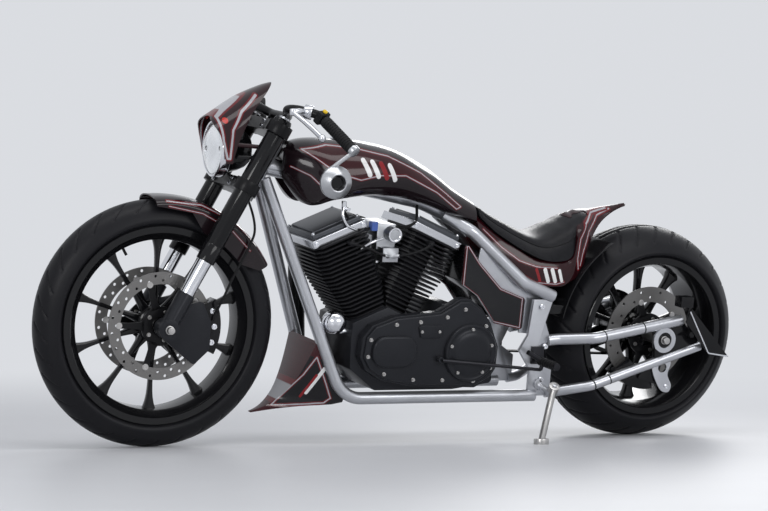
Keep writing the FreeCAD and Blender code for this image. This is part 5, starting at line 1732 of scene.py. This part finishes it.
@dataclass
class Chassis:
    """The frame's tubes, plates and small trim, and the rear arms.

    Attributes:
        plates: how far out the cradle's tubes and plates are.
        arm_y: how far out the arms' ends are.
    """

    plates: float = 112.0
    arm_y: float = 168.0

    def build(self) -> None:
        """Make the tubes, their seams and the plates."""
        out, arm, rx, rz = self.plates, self.arm_y, REAR_AXLE.x, REAR_AXLE.z
        top, foot = (504, 26, 771), (245, out, 151)
        cut = tuple(Vector(foot) - (Vector(foot) - Vector(top)).normalized() * 62)
        upper = [(-428, out, 316), (-462, out + 4, 320), (-560, arm, 332), (rx - 59, arm, rz + 60)]
        lower = [(-433, out, 158), (-468, out + 4, 162), (-560, arm, 188), (rx - 132, arm, rz - 20)]
        for node, way, radius, bend in (("downtubes", [top, cut], 18, 0),
                                        ("lower_rails", [cut, foot, (-396, out, 151)], 18, 90),
                                        ("seat_rails", SEAT_RAIL, 19, 60), ("upper_arms", upper, 17, 60),
                                        ("lower_arms", lower, 15, 60)):
            place_pipe(node, both(way), radius, bend, Paint.SILVER)
        seams = [self.seam(upper[2], upper[3], share, 17.5) for share in (0.1, 0.55)]
        seams += [self.seam(lower[2], lower[3], share, 15.5) for share in (0.02, 0.16)]
        mesh = Shape.mirrored(Shape.joined(seams))
        Maker.piece("arm_seams", mesh, Body.FRAME, Paint.BLACK_SATIN)
        for node, finish, soft in (("steering_neck", Paint.SILVER, 0.8), ("pivot_plates", Paint.SILVER, 1.5),
                                   ("axle_plates", Paint.BLACK_GLOSS, 1.5), ("stand_leg", Paint.STEEL, 1.0),
                                   ("rear_axle", Paint.STEEL, 0.6), ("rear_fender", Paint.BLACK_GLOSS, 0.8),
                                   ("oil_tank", Paint.BLACK_GLOSS, 3.0),
                                   ("plate_bracket", Paint.BLACK_GLOSS, 1.2),
                                   ("foot_controls", Paint.DARK_ALLOY, 1.0),
                                   ("rear_calliper", Paint.BLACK_GLOSS, 1.5)):
            Maker.dressed_copy(node, finish, soft)
        ring = Shape.lathe([(3, 40), (6, 38), (6, 24), (3, 22), (-2, 22), (-2, 40)], (rx, arm + 6, rz),
                           wrap=True)
        Maker.piece("axle_plate_ring", ring, Body.FRAME, Paint.POLISHED)
        self.trim(rx, rz, arm + 30)

    @staticmethod
    def seam(start: Triple, end: Triple, share: float, radius: float) -> Mesh:
        """A thin dark clamp ring round an arm."""
        place, line = Vector(start).lerp(Vector(end), share), (Vector(end) - Vector(start)).normalized()
        return Shape.rod(place - line * 2, place + line * 2, radius, 0.5)

    @staticmethod
    def trim(rx: float, rz: float, low: float) -> None:
        """The tail lamp's lens, the plate's rim, the calliper's polished bracket and the pegs' rubbers.

        Args:
            rx: the rear axle's X.
            rz: its Z.
            low: the plate's distance from the middle.
        """
        lens = Shape.block((rx - 76, low - 26, rz + 108), (rx - 70, low + 2, rz + 132), 2)
        Maker.settle("tail_lens", lens, Body.FRAME, Paint.LENS)
        edge = [(rx - 66, low + 4.5, rz + 92), (rx - 146, low + 4.5, rz - 36), (rx - 216, low + 4.5, rz - 46)]
        rim = Shape.pipe(edge, 2.4, 10, 12)
        Maker.piece("plate_rim", rim, Body.FRAME, Paint.CHROME)
        outline = [(rx - 66, rz - 52), (rx - 30, rz - 44), (rx - 8, rz - 60), (rx - 4, rz - 100),
                   (rx - 22, rz - 140), (rx - 44, rz - 168), (rx - 70, rz - 172), (rx - 78, rz - 150),
                   (rx - 62, rz - 118), (rx - 70, rz - 84)]
        bracket = Shape.slab(eased(outline + outline[:1], 5)[:-1], 113, 121, 1.5)
        bracket = Shape.carved(bracket, [Shape.rod((rx - 40, 100, rz - 96), (rx - 40, 130, rz - 96), 15)])
        Maker.piece("calliper_bracket", bracket, Body.FRAME, Paint.POLISHED)
        spots = [(rx - 60, 121, rz - 155), (rx - 46, 121, rz - 62), (rx - 16, 121, rz - 62)]
        Hardware.bolts("calliper_bracket_bolts", spots, 7, 5)
        rubbers = [Shape.rod((-386, y, 262), (-386, y + 9, 262), 13.5, 1.5) for y in range(150, 241, 13)]
        mesh = Shape.mirrored(Shape.joined(rubbers))
        Maker.piece("peg_rubbers", mesh, Body.FRAME, Paint.RUBBER)
        Hardware.bolts("pivot_bolts",
                       [(-392, 124, 420), (-414, 124, 300), (-409, 124, 200), (-409, 124, 172)], 8, 6)


@dataclass
class Fork:
    """The fork's legs, yokes, feet and brakes, drawn in fork axes where that is simpler.

    Attributes:
        legs: how far out the legs are.
    """

    legs: float = 115.0

    def build(self) -> None:
        """Make the legs and what they carry."""
        tube = [(214, 24), (216, 27), (262, 27), (264, 25.6), (268, 25.6), (270, 27), (660, 27), (668, 24)]
        self.legs_piece("fork_tubes", tube, Paint.BLACK_GLOSS)
        self.legs_piece("stanchions", [(112, 21), (214, 21)], Paint.CHROME)
        for node, finish, soft in (("yokes", Paint.BLACK_SATIN, 1.5), ("fork_feet", Paint.CASTING, 1.2),
                                   ("front_axle", Paint.STEEL, 0.6),
                                   ("front_callipers", Paint.BLACK_GLOSS, 1.5)):
            Maker.dressed_copy(node, finish, soft)
        caps = [(0, side * self.legs, 668) for side in (1, -1)]
        Hardware.bolts("fork_caps", caps, 22, 6, (0, 0, 1), Body.FORK, Paint.ALLOY, True)
        for name, side in (("calliper_bolts", 1), ("right_calliper_bolts", -1)):
            spots = [FRONT_AXLE + radial(radians(turn)) * 152 + Vector((0, side * 82, 0))
                     for turn in (162, 179, 196)]
            Hardware.bolts(name, spots, 8, 6, (0, side, 0), Body.FORK)
        clamp = [(30, side * (self.legs - 52), z) for z in (444, 460, 628, 644) for side in (1, -1)]
        Hardware.bolts("yoke_bolts", clamp, 6, 5, (1, 0, 0), Body.FORK, fork_axes=True)

    def legs_piece(self, node: str, profile: Sequence[Pair], finish: Finish) -> None:
        """Two turned legs that stand for a node.

        Args:
            node: the node.
            profile: the turned outline.
            finish: the legs' finish.
        """
        mesh = Shape.joined([Shape.lathe(profile, (0, side * self.legs, 0), (0, 0, 1), 64)
                             for side in (1, -1)])
        Maker.piece(node + "_turned", Shape.fork(mesh), Body.FORK, finish, node)


@dataclass
class Cockpit:
    """The bar with its grips, switches, levers and mirror, and the lamp.

    Attributes:
        clamp: the bar's middle.
        end: the bar's left end.
        elbow: the corner inside the left grip.
        shoulder: the corner ahead of it.
        ahead: where the lever lies from the grip.
    """

    clamp: Vector = field(default_factory=lambda: fork_point(-28, 0, 687.6))
    end: Triple = (-83, 339, -64)
    elbow: Triple = (-23, 231, 21)
    shoulder: Triple = (54, 180, 36)
    ahead: Triple = (0.88, 0.44, -0.06)

    def __post_init__(self) -> None:
        """Set the bar's corners on the upright machine."""
        self.end, self.elbow, self.shoulder = (self.clamp + Vector(v)
                                               for v in (self.end, self.elbow, self.shoulder))
        self.ahead = Vector(self.ahead).normalized()
        self.heading = (self.elbow - self.end).normalized()

    def build(self) -> None:
        """Make everything in front of the rider."""
        near = (self.clamp.x, 60, self.clamp.z)
        half = [tuple(self.end + self.heading * 2), tuple(self.elbow), tuple(self.shoulder), near]
        whole = half + [(x, -y, z) for x, y, z in reversed(half)]
        posts = [Shape.fork(Shape.rod((-28, side * 45, 653.6), (-28, side * 45, 687.6), 13, 1.5))
                 for side in (1, -1)]
        place_pipe("handlebar", [whole], 12.7, 55, Paint.BLACK_SATIN, posts)
        self.grips()
        self.switches()
        self.levers()
        self.mirror()
        self.lamp()

    @staticmethod
    def pair(name: str, mesh: Mesh, finish: Finish, node: str = "", angle: float = 35) -> None:
        """A left piece with its mirror image, standing for a node if one is named."""
        Maker.piece(name, Shape.mirrored(mesh), Body.FORK, finish, node, angle)

    def grips(self) -> None:
        """Ribbed grips with a plain collar."""
        profile = [(0, 13.5), (1.5, 16), (4, 17)]
        for at in range(10, 107, 8):
            profile += [(at, 17), (at + 1, 15.6), (at + 3, 15.6), (at + 4, 17)]
        profile += [(118, 17), (123, 16.5), (125, 14)]
        self.pair("grips", Shape.lathe(profile, self.end, self.heading, 48), Paint.RUBBER, "handlebar")

    def switches(self) -> None:
        """A small switch block inside each grip, with a yellow and a black button on the left one."""
        heading, ahead = self.heading, self.ahead
        up = heading.cross(ahead).normalized()
        up = up if up.z > 0 else -up
        centre = self.end + heading * 138
        turn = Matrix((heading, ahead, up)).transposed().to_4x4()
        block = Shape.block((-11, -19, -19), (11, 19, 19), 5)
        block.transform(Matrix.Translation(centre) @ turn)
        self.pair("switch_blocks", block, Paint.BLACK_SATIN)
        Maker.settle("horn_button", Shape.rod(centre + up * 18, centre + up * 24, 7, 1.5), Body.FORK,
                     Paint.YELLOW)
        rocker = Shape.rod(centre - ahead * 18 + heading * 2, centre - ahead * 22 + heading * 2, 5, 1)
        Maker.settle("dip_button", rocker, Body.FORK, Paint.BLACK_GLOSS)

    def levers(self) -> None:
        """Bright levers with ball ends, on their perches."""
        along = (self.shoulder - self.elbow).normalized()
        perch = self.elbow + along * 31
        pivot = perch + along * 13 + self.ahead * 46
        tip = self.end + self.heading * 56 + self.ahead * 75
        collar = Shape.lathe([(-12, 12.8), (-12, 18.7), (-11, 19.7), (11, 19.7), (12, 18.7), (12, 12.8)],
                             perch, along, 40, True)
        arm = Shape.rod(perch + (pivot - perch) * 0.42, pivot + (pivot - perch).normalized() * 3, 10.5, 2)
        body = Shape.rod(pivot - Vector((0, 0, 9)), pivot + Vector((0, 0, 9)), 9, 2)
        blade = []
        away = (tip - pivot).normalized()
        flat = away.cross(Vector((0, 0, 1))).normalized()
        tall = flat.cross(away)
        for share, wide, high in eased([(0.0, 7.5, 7.5), (0.15, 7.8, 6.5), (0.5, 6.6, 7.6), (0.85, 5.4, 7.6),
                                        (1.0, 5, 7)], 6):
            spot = pivot.lerp(tip, share) + flat * (-5.0 * sin(pi * share))
            blade.append([spot + flat * (wide * cos(t)) + tall * (high * sin(t))
                          for t in (tau * i / 20 for i in range(20))])
        ball = Shape.lathe([(11 * sin(t), 11 * cos(t))
                            for t in (pi * (i / 12 - 0.5) * 0.96 for i in range(13))], tip,
                           away, 32)
        mesh = Shape.joined([collar, arm, body, Shape.loft(blade), ball])
        self.pair("lever_pair", mesh, Paint.LEVER, "levers", 45)

    def mirror(self) -> None:
        """The round mirror with its coned, open back, hanging from the left bar end."""
        end, heading = self.end, self.heading
        centre = end + Vector((41, 0, -92))
        cup = Shape.lathe([(-12, 43), (-11, 45), (-9, 46), (-1, 46), (0.5, 45.4), (14.5, 26), (16, 24.5),
                           (15, 22), (4, 19), (-9, 18), (-12, 17)], centre, wrap=True)
        glass = Shape.lathe([(-12.5, 40), (-8, 41), (-8, 10), (-12.5, 10)], centre, wrap=True)
        knob = Shape.lathe([(0, 17), (-10, 17), (-13, 15.5), (-14, 12)], end, heading, 40)
        arm = Shape.pipe([end - heading * 8, centre + Vector((14, -4, 40))], 6, 0, 24)
        mesh = Shape.joined([cup, knob, arm])
        Maker.piece("mirror_cup", mesh, Body.FORK, Paint.ALLOY, "mirror")
        Maker.piece("mirror_glass", glass, Body.FORK, Paint.CHROME)
        core = Shape.lathe([(-10, 18.2), (2, 18.2), (3, 15), (3, 4)], centre)
        Maker.settle("mirror_core", core, Body.FORK, Paint.BLACK_GLOSS)

    def lamp(self) -> None:
        """The round lamp: a dark bowl, a bright ring, a bowl-shaped mirror and a clear glass."""
        centre = FRONT_AXLE + Vector((-158, 0, 497))

        def turned(profile: Sequence[Pair], sides: int = 96, wrap: bool = True) -> Mesh:
            """A piece turned about the lamp's axis."""
            return Shape.lathe(profile, centre, (1, 0, 0), sides, wrap)

        bowl = turned([(-92, 34), (-91, 40), (-78, 52), (-58, 60.7), (-36, 65.8), (-16, 74), (-14, 74),
                       (-14, 70), (-34, 62), (-56, 57), (-76, 48), (-88, 30), (-88, 1), (-92, 1)])
        ears = [Shape.block((-100, side * 73.5 - 33.5, -20), (-25, side * 73.5 + 33.5, -10), 1.5)
                for side in (1, -1)]
        for ear in ears:
            ear.transform(Matrix.Translation(centre))
        ring = turned([(-16, 75), (-16, 80), (-14, 82), (8, 82), (12, 80), (14, 77), (13, 74), (8, 75.5),
                       (-12, 75.5)])
        curve = [(-60 + 62 * (r / 73) ** 2, r) for r in (14, 22, 32, 42, 52, 62, 68, 73)]
        dome = [(10 + 22 * cos(pi / 2 * r / 76) ** 0.9, r) for r in (76, 74, 70, 62, 50, 36, 20, 6)]
        glass = turned(dome + [(a - 3, r) for a, r in reversed(dome)], wrap=False)
        bulb = turned([(-60, 11), (-34, 11), (-30, 9), (-12, 8), (-8, 5)], 32, False)
        for name, mesh, finish, node, angle in (
                ("lamp_bowl", Shape.joined([bowl] + ears), Paint.BLACK_GLOSS, "headlight", 35),
                ("lamp_ring", ring, Paint.CHROME, "headlight", 35),
                ("lamp_mirror", turned(curve + [(a - 2, r) for a, r in reversed(curve)]), Paint.MIRROR, "",
                 35),
                ("lamp_glass", glass, Paint.GLASS, "headlight", 60),
                ("lamp_bulb", bulb, Paint.ALLOY, "", 35)):
            Maker.piece(name, mesh, Body.FORK, finish, node, angle)


CRANK = Vector((117, 0, 290))
HALF_VEE = radians(22.5)
FINAL_DRIVE = (-143, 289)


def vee_matrix(side: int) -> Matrix:
    """The turn of the front cylinder's own axes for 1, or the rear one's for -1."""
    return Matrix.Rotation(side * HALF_VEE, 4, "Y")


def vee_point(side: int, along: float, across: float, up: float) -> Vector:
    """A point in one cylinder's own axes, on the upright machine."""
    return CRANK + vee_matrix(side).to_3x3() @ Vector((along, across, up))


@dataclass
class Engine:
    """The V-twin with its covers, fuel system and pipes.

    Attributes:
        face: how far out the primary cover's face is.
    """

    face: float = 150.0

    def build(self) -> None:
        """Make the engine's pieces."""
        for node, finish, soft in (("cylinders", Paint.FINS, 0.5), ("crankcase", Paint.CASTING, 2.0),
                                   ("cam_cover", Paint.POLISHED, 2.5), ("pushrod_tubes", Paint.CHROME, 0.0),
                                   ("carburettor", Paint.ALLOY, 1.5), ("rear_pulley", Paint.BLACK_GLOSS, 1.0),
                                   ("drive_belt", Paint.RUBBER, 0.0)):
            Maker.dressed_copy(node, finish, soft)
        self.rockers()
        self.primary()
        self.pipes()
        self.front_pieces()

    @staticmethod
    def rockers() -> None:
        """Rocker boxes: a bright band below, a dark stepped lid above, and their bolts."""
        bands, lids = [], []
        for number, side in enumerate((1, -1), 1):
            front, back = (108, 70) if side > 0 else (70, 108)
            band = Shape.block((-back, -114, 355), (front, 76, 379), 2.5)
            lid = Shape.block((9 - back, -105, 379), (front - 9, 67, 393), 3)
            top = Shape.block((22 - back, -92, 392), (front - 22, 54, 399), 3)
            for mesh in (band, lid, top):
                mesh.transform(Matrix.Translation(CRANK) @ vee_matrix(side))
            bands.append(band)
            lids += [lid, top]
            spots = [vee_point(side, x, 76, 367) for x in (12 - back, front - 12)]
            Hardware.bolts(f"rocker_bolts_{number}", spots, 6.5, 4)
            spots = [vee_point(side, x, y, 393) for x in (16 - back, front - 16) for y in (-98, 60)]
            Hardware.bolts(f"lid_bolts_{number}", spots, 5.5, 4,
                           vee_matrix(side).to_3x3() @ Vector((0, 0, 1)))
        for name, meshes, finish in (("rocker_bands", bands, Paint.POLISHED),
                                     ("rocker_lids", lids, Paint.LID)):
            Maker.piece(name, Shape.joined(meshes), Body.FRAME, finish, "rocker_boxes")

    def primary(self) -> None:
        """The primary cover with a rounded front bump, a clutch dome, a lid and bright bolts."""
        corners = [(212, 276), (206, 336), (180, 368), (107, 394), (-38, 408), (-103, 446), (-134, 446),
                   (-176, 419), (-210, 375), (-242, 304), (-240, 240), (-218, 206), (-173, 183), (41, 190),
                   (140, 208), (190, 238)]
        outline = Shape.rounded(corners, 12, 5)
        face, (drive_x, drive_z) = self.face, FINAL_DRIVE
        base = Shape.slab(outline, 108, face - 9, 1.5)
        raised = Shape.softened(self.shrunk(outline, face - 9, face, 0.965), 4.0)
        bump = Shape.slab(Shape.rounded([(40, 250), (40, 340), (182, 340), (182, 250)], 40, 8), face - 2,
                          face + 14, 6, 50)
        clutch = Shape.lathe([(-2, 86), (6, 86), (10, 83), (10.5, 78), (9, 76), (9, 68), (12, 64), (16.5, 56),
                              (18, 44), (18, 0.5)], (drive_x, face, drive_z), sides=128)
        lid = Shape.slab(Shape.rounded([(37, 370), (-44, 370), (-42, 334), (26, 334)], 8), face - 1, face + 5,
                         1.5, 50)
        pivot = Shape.rod((-40, face - 1, 271), (-40, 168.6, 271), 9, 1)
        Maker.piece("primary_shell", Shape.joined([base, raised, bump, clutch, lid, pivot]), Body.FRAME,
                    Paint.CASTING, "primary_cover", 40)
        edge = [(198, 278), (192, 334), (110, 384), (30, 392), (-60, 408), (-120, 434), (-196, 378),
                (-230, 300), (-222, 236), (-166, 193), (-60, 197), (40, 200), (140, 220)]
        drawn_in = [(x - x * 0.03, face, z + (CRANK.z - z) * 0.12) for x, z in edge]
        ring = [(drive_x + 70 * cos(t), face + 9.5, drive_z + 70 * sin(t))
                for t in (tau * i / 5 + 0.3 for i in range(5))]
        screws = [(-34, face + 5, 352), (24, face + 5, 352)]
        for name, spots, radius, height in (("primary_bolts", drawn_in, 5.8, 5), ("clutch_bolts", ring, 5, 4),
                                            ("lid_screws", screws, 4.5, 3)):
            Hardware.bolts(name, spots, radius, height, finish=Paint.STEEL)

    @staticmethod
    def shrunk(outline: Sequence[Pair], low: float, high: float, share: float) -> Mesh:
        """A plate whose outline is drawn in towards its middle.

        Args:
            outline: the outline.
            low: the Y of its right face.
            high: the Y of its left face.
            share: the size that is left along X; two hundredths less are left along Z.

        Returns:
            The mesh.
        """
        cx, cz = (sum(values) / len(outline) for values in zip(*outline))
        return Shape.slab([(cx + (x - cx) * share, cz + (z - cz) * (share - 0.02)) for x, z in outline], low,
                          high)

    @staticmethod
    def pipes() -> None:
        """The short dark exhaust pipes and the round air cleaner on the right."""
        ways = []
        for side, low, end in ((1, 206, -330), (-1, 260, -318)):
            port = vee_point(side, side * 67, -88, 316)
            ways.append([tuple(port), (port.x, -150, port.z), (port.x - 48, -178, low), (end, -194, low - 4)])
        place_pipe("exhaust_pipes", ways, 24, 50, Paint.BLACK_SATIN)
        cleaner = Shape.lathe([(-162, 1), (-162, 40), (-160, 44), (-158, 54), (-155, 60), (-140, 60),
                               (-138, 57), (-134, 57), (-132, 60), (-120, 60), (-118, 58), (-118, 1)],
                              (CRANK.x, 0, 588), (0, 1, 0), 96)
        Maker.piece("air_cleaner_can", cleaner, Body.FRAME, Paint.BLACK_GLOSS, "air_cleaner")
        spots = [(CRANK.x + 26 * cos(t), -162, 588 + 26 * sin(t)) for t in (tau * i / 3 for i in range(3))]
        Hardware.bolts("cleaner_bolts", spots, 6, 3, (0, -1, 0))

    @staticmethod
    def front_pieces() -> None:
        """The horn, the carburettor's knob ring, a blue socket, small pipes and the tap between the heads."""
        horn = Shape.lathe([(-36, 1), (-35.5, 6), (-31, 18), (-18, 31), (0, 36), (18, 31), (31, 18),
                            (35.5, 6), (36, 1)],
                           (276, 84, 369), sides=64)
        bar = Shape.rod((276, 84, 343), (229, 84, 343), 9, 1)
        Maker.piece("horn_ball", Shape.joined([horn, bar]), Body.FRAME, Paint.CHROME, "horn", 60)
        ring = Shape.lathe([(90, 16), (90, 21), (92, 22), (94, 21), (94, 17), (92, 15)], (105, 0, 624),
                           sides=48, wrap=True)
        Maker.piece("knob_ring", ring, Body.FRAME, Paint.CHROME)
        Maker.settle("blue_socket", Shape.block((158, 62, 634), (178, 84, 660), 2), Body.FRAME, Paint.BLUE)
        for number, (points, finish) in enumerate((
                ([(176, 70, 640), (206, 74, 634), (232, 66, 648), (250, 40, 684)], Paint.RUBBER),
                ([(90, 60, 640), (60, 78, 648), (30, 72, 664), (14, 40, 704)], Paint.RUBBER),
                ([(136, 78, 612), (170, 88, 604), (196, 84, 590), (214, 70, 566)], Paint.CHROME),
                ([(262, 60, 708), (268, 70, 676), (254, 76, 648), (226, 74, 636)], Paint.CHROME)), 1):
            Maker.piece(f"small_pipe_{number}", Shape.pipe(eased(points, 8), 4.2, 0, 14), Body.FRAME, finish,
                        angle=60)
        tap = Shape.joined([Shape.rod((262, 60, 690), (262, 60, 716), 8, 1),
                            Shape.rod((254, 56, 694), (254, 78, 694), 6, 1)])
        Maker.piece("fuel_tap", tap, Body.FRAME, Paint.CHROME)


@dataclass
class Studio:
    """The floor, the lights, the world and the camera.

    Attributes:
        floor_colour: the floor's colour near the machine.
        backdrop: the colour of the surround.
        backdrop_light: how bright the surround looks.
        surround_light: how strongly the surround lights the machine.
        camera_place: where the camera is, on the upright machine in metres.
        heading: the camera's turn in degrees.
        pitch: its tilt in degrees.
        roll: its roll in degrees.
        lens: its focal length in millimetres.
    """

    floor_colour: Triple = (0.66, 0.67, 0.7)
    backdrop: Triple = (0.8, 0.82, 0.86)
    backdrop_light: float = 0.88
    surround_light: float = 0.38
    camera_place: Triple = (4.055, 7.488, 0.5644)
    heading: float = 28.2
    pitch: float = -0.147
    roll: float = 0.52
    lens: float = 135.3

    def build(self) -> None:
        """Make everything that isn't the machine."""
        self.floor()
        self.world()
        self.lamps()
        self.camera()

    def floor(self) -> None:
        """A plain pale floor that fades into the surround."""
        mesh = bpy.data.meshes.new("floor")
        reach = 14.0
        corners = [(-reach, -reach, 0), (reach, -reach, 0), (reach, reach, 0), (-reach, reach, 0)]
        mesh.from_pydata(corners, [], [(0, 1, 2, 3)])
        floor = Maker.draft("floor", mesh)
        material = bpy.data.materials.new("pale floor")
        material.use_nodes = True
        graph = Graph(material.node_tree)
        shader = material.node_tree.nodes["Principled BSDF"]
        place = graph.node("ShaderNodeTexCoord").outputs["Object"]
        cloud = graph.made("ShaderNodeTexNoise", Vector=place, Scale=3.0, Detail=4.0)
        pale = tuple(part * 1.06 for part in self.floor_colour)
        graph.feed(shader, Base_Color=graph.mix(cloud, self.floor_colour, pale), Roughness=0.42)
        fade = graph.ramp(graph.vector("LENGTH", place, output=1), 0.9, 5.0)
        glow = graph.made("ShaderNodeEmission", Color=(*self.backdrop, 1.0), Strength=self.backdrop_light)
        blend = graph.together("ShaderNodeMixShader", fade, shader.outputs[0], glow)
        graph.join(blend, material.node_tree.nodes["Material Output"].inputs["Surface"])
        mesh.materials.append(material)

    def world(self) -> None:
        """A pale surround, dimmer where it only lights the machine."""
        world = bpy.data.worlds.new("studio")
        bpy.context.scene.world = world
        world.use_nodes = True
        graph = Graph(world.node_tree)
        shade = world.node_tree.nodes["Background"]
        path = graph.node("ShaderNodeLightPath")
        seen = graph.maths("MAXIMUM", path.outputs["Is Camera Ray"], path.outputs["Is Transmission Ray"])
        seen = graph.maths("MAXIMUM", seen, path.outputs["Is Glossy Ray"])
        added = graph.maths("MULTIPLY", seen, self.backdrop_light - self.surround_light)
        strength = graph.maths("ADD", added, self.surround_light)
        shade.inputs["Color"].default_value = (*self.backdrop, 1.0)
        graph.join(strength, shade.inputs["Strength"])

    def lamps(self) -> None:
        """Long soft lights over the machine and beside it."""
        for name, place, aim, size, power in (
                ("overhead softbox", (0.3, 0.9, 3.4), (0.0, 0.0, 0.5), (4.2, 1.0), 42.0),
                ("front softbox", (4.2, 3.4, 1.9), (0.3, 0.0, 0.5), (1.6, 1.6), 62.0),
                ("side softbox", (-1.4, 5.2, 2.4), (-0.2, 0.0, 0.5), (3.6, 1.8), 80.0),
                ("rear softbox", (-3.0, -3.4, 2.4), (-0.2, 0.0, 0.5), (2.4, 1.4), 55.0)):
            lamp = bpy.data.lights.new(name, "AREA")
            lamp.shape = "RECTANGLE"
            lamp.size, lamp.size_y = size
            lamp.energy = power
            holder = Maker.draft(name, lamp)
            holder.location = place
            holder.rotation_euler = (Vector(aim) - Vector(place)).to_track_quat("-Z", "Y").to_euler()

    def camera(self) -> None:
        """The camera at the photograph's place and angle."""
        turn, pitch, roll = (radians(value) for value in (self.heading, self.pitch, self.roll))
        level = Vector((-sin(turn), -cos(turn), 0.0))
        ahead = level * cos(pitch) + Vector((0.0, 0.0, sin(pitch)))
        right = ahead.cross(Vector((0.0, 0.0, 1.0))).normalized()
        up = right.cross(ahead)
        rolled_right = right * cos(roll) + up * sin(roll)
        rolled_up = up * cos(roll) - right * sin(roll)
        turned = Matrix((rolled_right, rolled_up, -ahead)).transposed().to_4x4()
        camera = bpy.data.cameras.new("photograph")
        camera.lens = self.lens
        camera.sensor_width = 36.0
        holder = Maker.draft("photograph", camera)
        holder.matrix_world = Matrix.Translation(Vector(self.camera_place) + STANCE.shift) @ turned
        bpy.context.scene.camera = holder
        bpy.context.scene.view_settings.view_transform = "Standard"


@dataclass
class Cords:
    """The hose and the plug leads that the machine holds at both ends.

    Attributes:
        radius: the cords' radius.
    """

    radius: float = 3.5

    def build(self) -> None:
        """Lay the left brake hose and both plug leads."""
        hose = [(-232.3, 80, 358.1), (-262, 87, 290), (-238, 91, 226), (-192, 94, 140), (-160, 113, 82),
                (-152, 93, 48)]
        route = [FRONT_AXLE + Vector(point) for point in hose]
        self.spline("brake_hose_curve", [route], Body.FORK, "brake_hose", Paint.RUBBER)
        routes = []
        for side in (1, -1):
            tip = vee_point(side, 0, 101, 335)
            start = Vector((CRANK.x + 24 * side, 106, 566))
            end = tip + Vector((-0.7 * side, 0.7, -0.15)) * 16
            first, last = Vector((0.8 * side, 0.55, 0.2)) * 30, Vector((-0.7 * side, 0.7, -0.15)) * 34
            routes.append([start, start + first, end + last, end])
        self.spline("plug_lead_curve", routes, Body.FRAME, "plug_leads", Paint.RUBBER)

    def spline(self, name: str, routes: Sequence[Points], body: Body, node: str, finish: Finish) -> None:
        """Args:
            name: the pieces' name.
            routes: each cord's points on the upright machine.
            body: the body that carries it.
            node: the model's node that it stands for.
            finish: its finish.
        """
        matrix = STANCE.matrix(body)
        for count, route in enumerate(routes):
            curve = bpy.data.curves.new(name, "CURVE")
            curve.dimensions = "3D"
            curve.bevel_depth = self.radius * MM
            curve.bevel_resolution = 3
            curve.resolution_u = 10
            spline = curve.splines.new("NURBS")
            spline.points.add(len(route) - 1)
            for point, place in zip(spline.points, route):
                point.co = (*(matrix @ Vector(place)), 1.0)
            spline.order_u = 3
            spline.use_endpoint_u = True
            curve.materials.append(finish.material())
            piece = Maker.draft(f"{name}_{count + 1}", curve)
            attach(piece, body.value)
            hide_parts(node)


def main() -> None:
    """Build the machine's looks in order."""
    logging.basicConfig(level=logging.INFO, format="%(name)s: %(message)s")
    Studio().build()
    for wheel in wheels():
        wheel.tyre()
        wheel.rim_piece()
        wheel.valve()
    front = (Body.FRONT_WHEEL, "front_discs", 152, 118, 26, 20)
    rear = (Body.REAR_WHEEL, "rear_disc", 146, 100, 34.8, 12)
    for name, centre, (body, node, *sizes) in (("left_disc", FRONT_AXLE + Vector((0, 59, 0)), front),
                                               ("right_disc", FRONT_AXLE - Vector((0, 59, 0)), front),
                                               ("rear_disc_ring", REAR_AXLE + Vector((0, 78, 0)), rear)):
        Disc(name, body, centre, node, *sizes).build()
    for assembly in (Chassis, Fork, Cockpit, Bodywork, Engine, Cords):
        assembly().build()


if __name__ == "__main__":
    main()
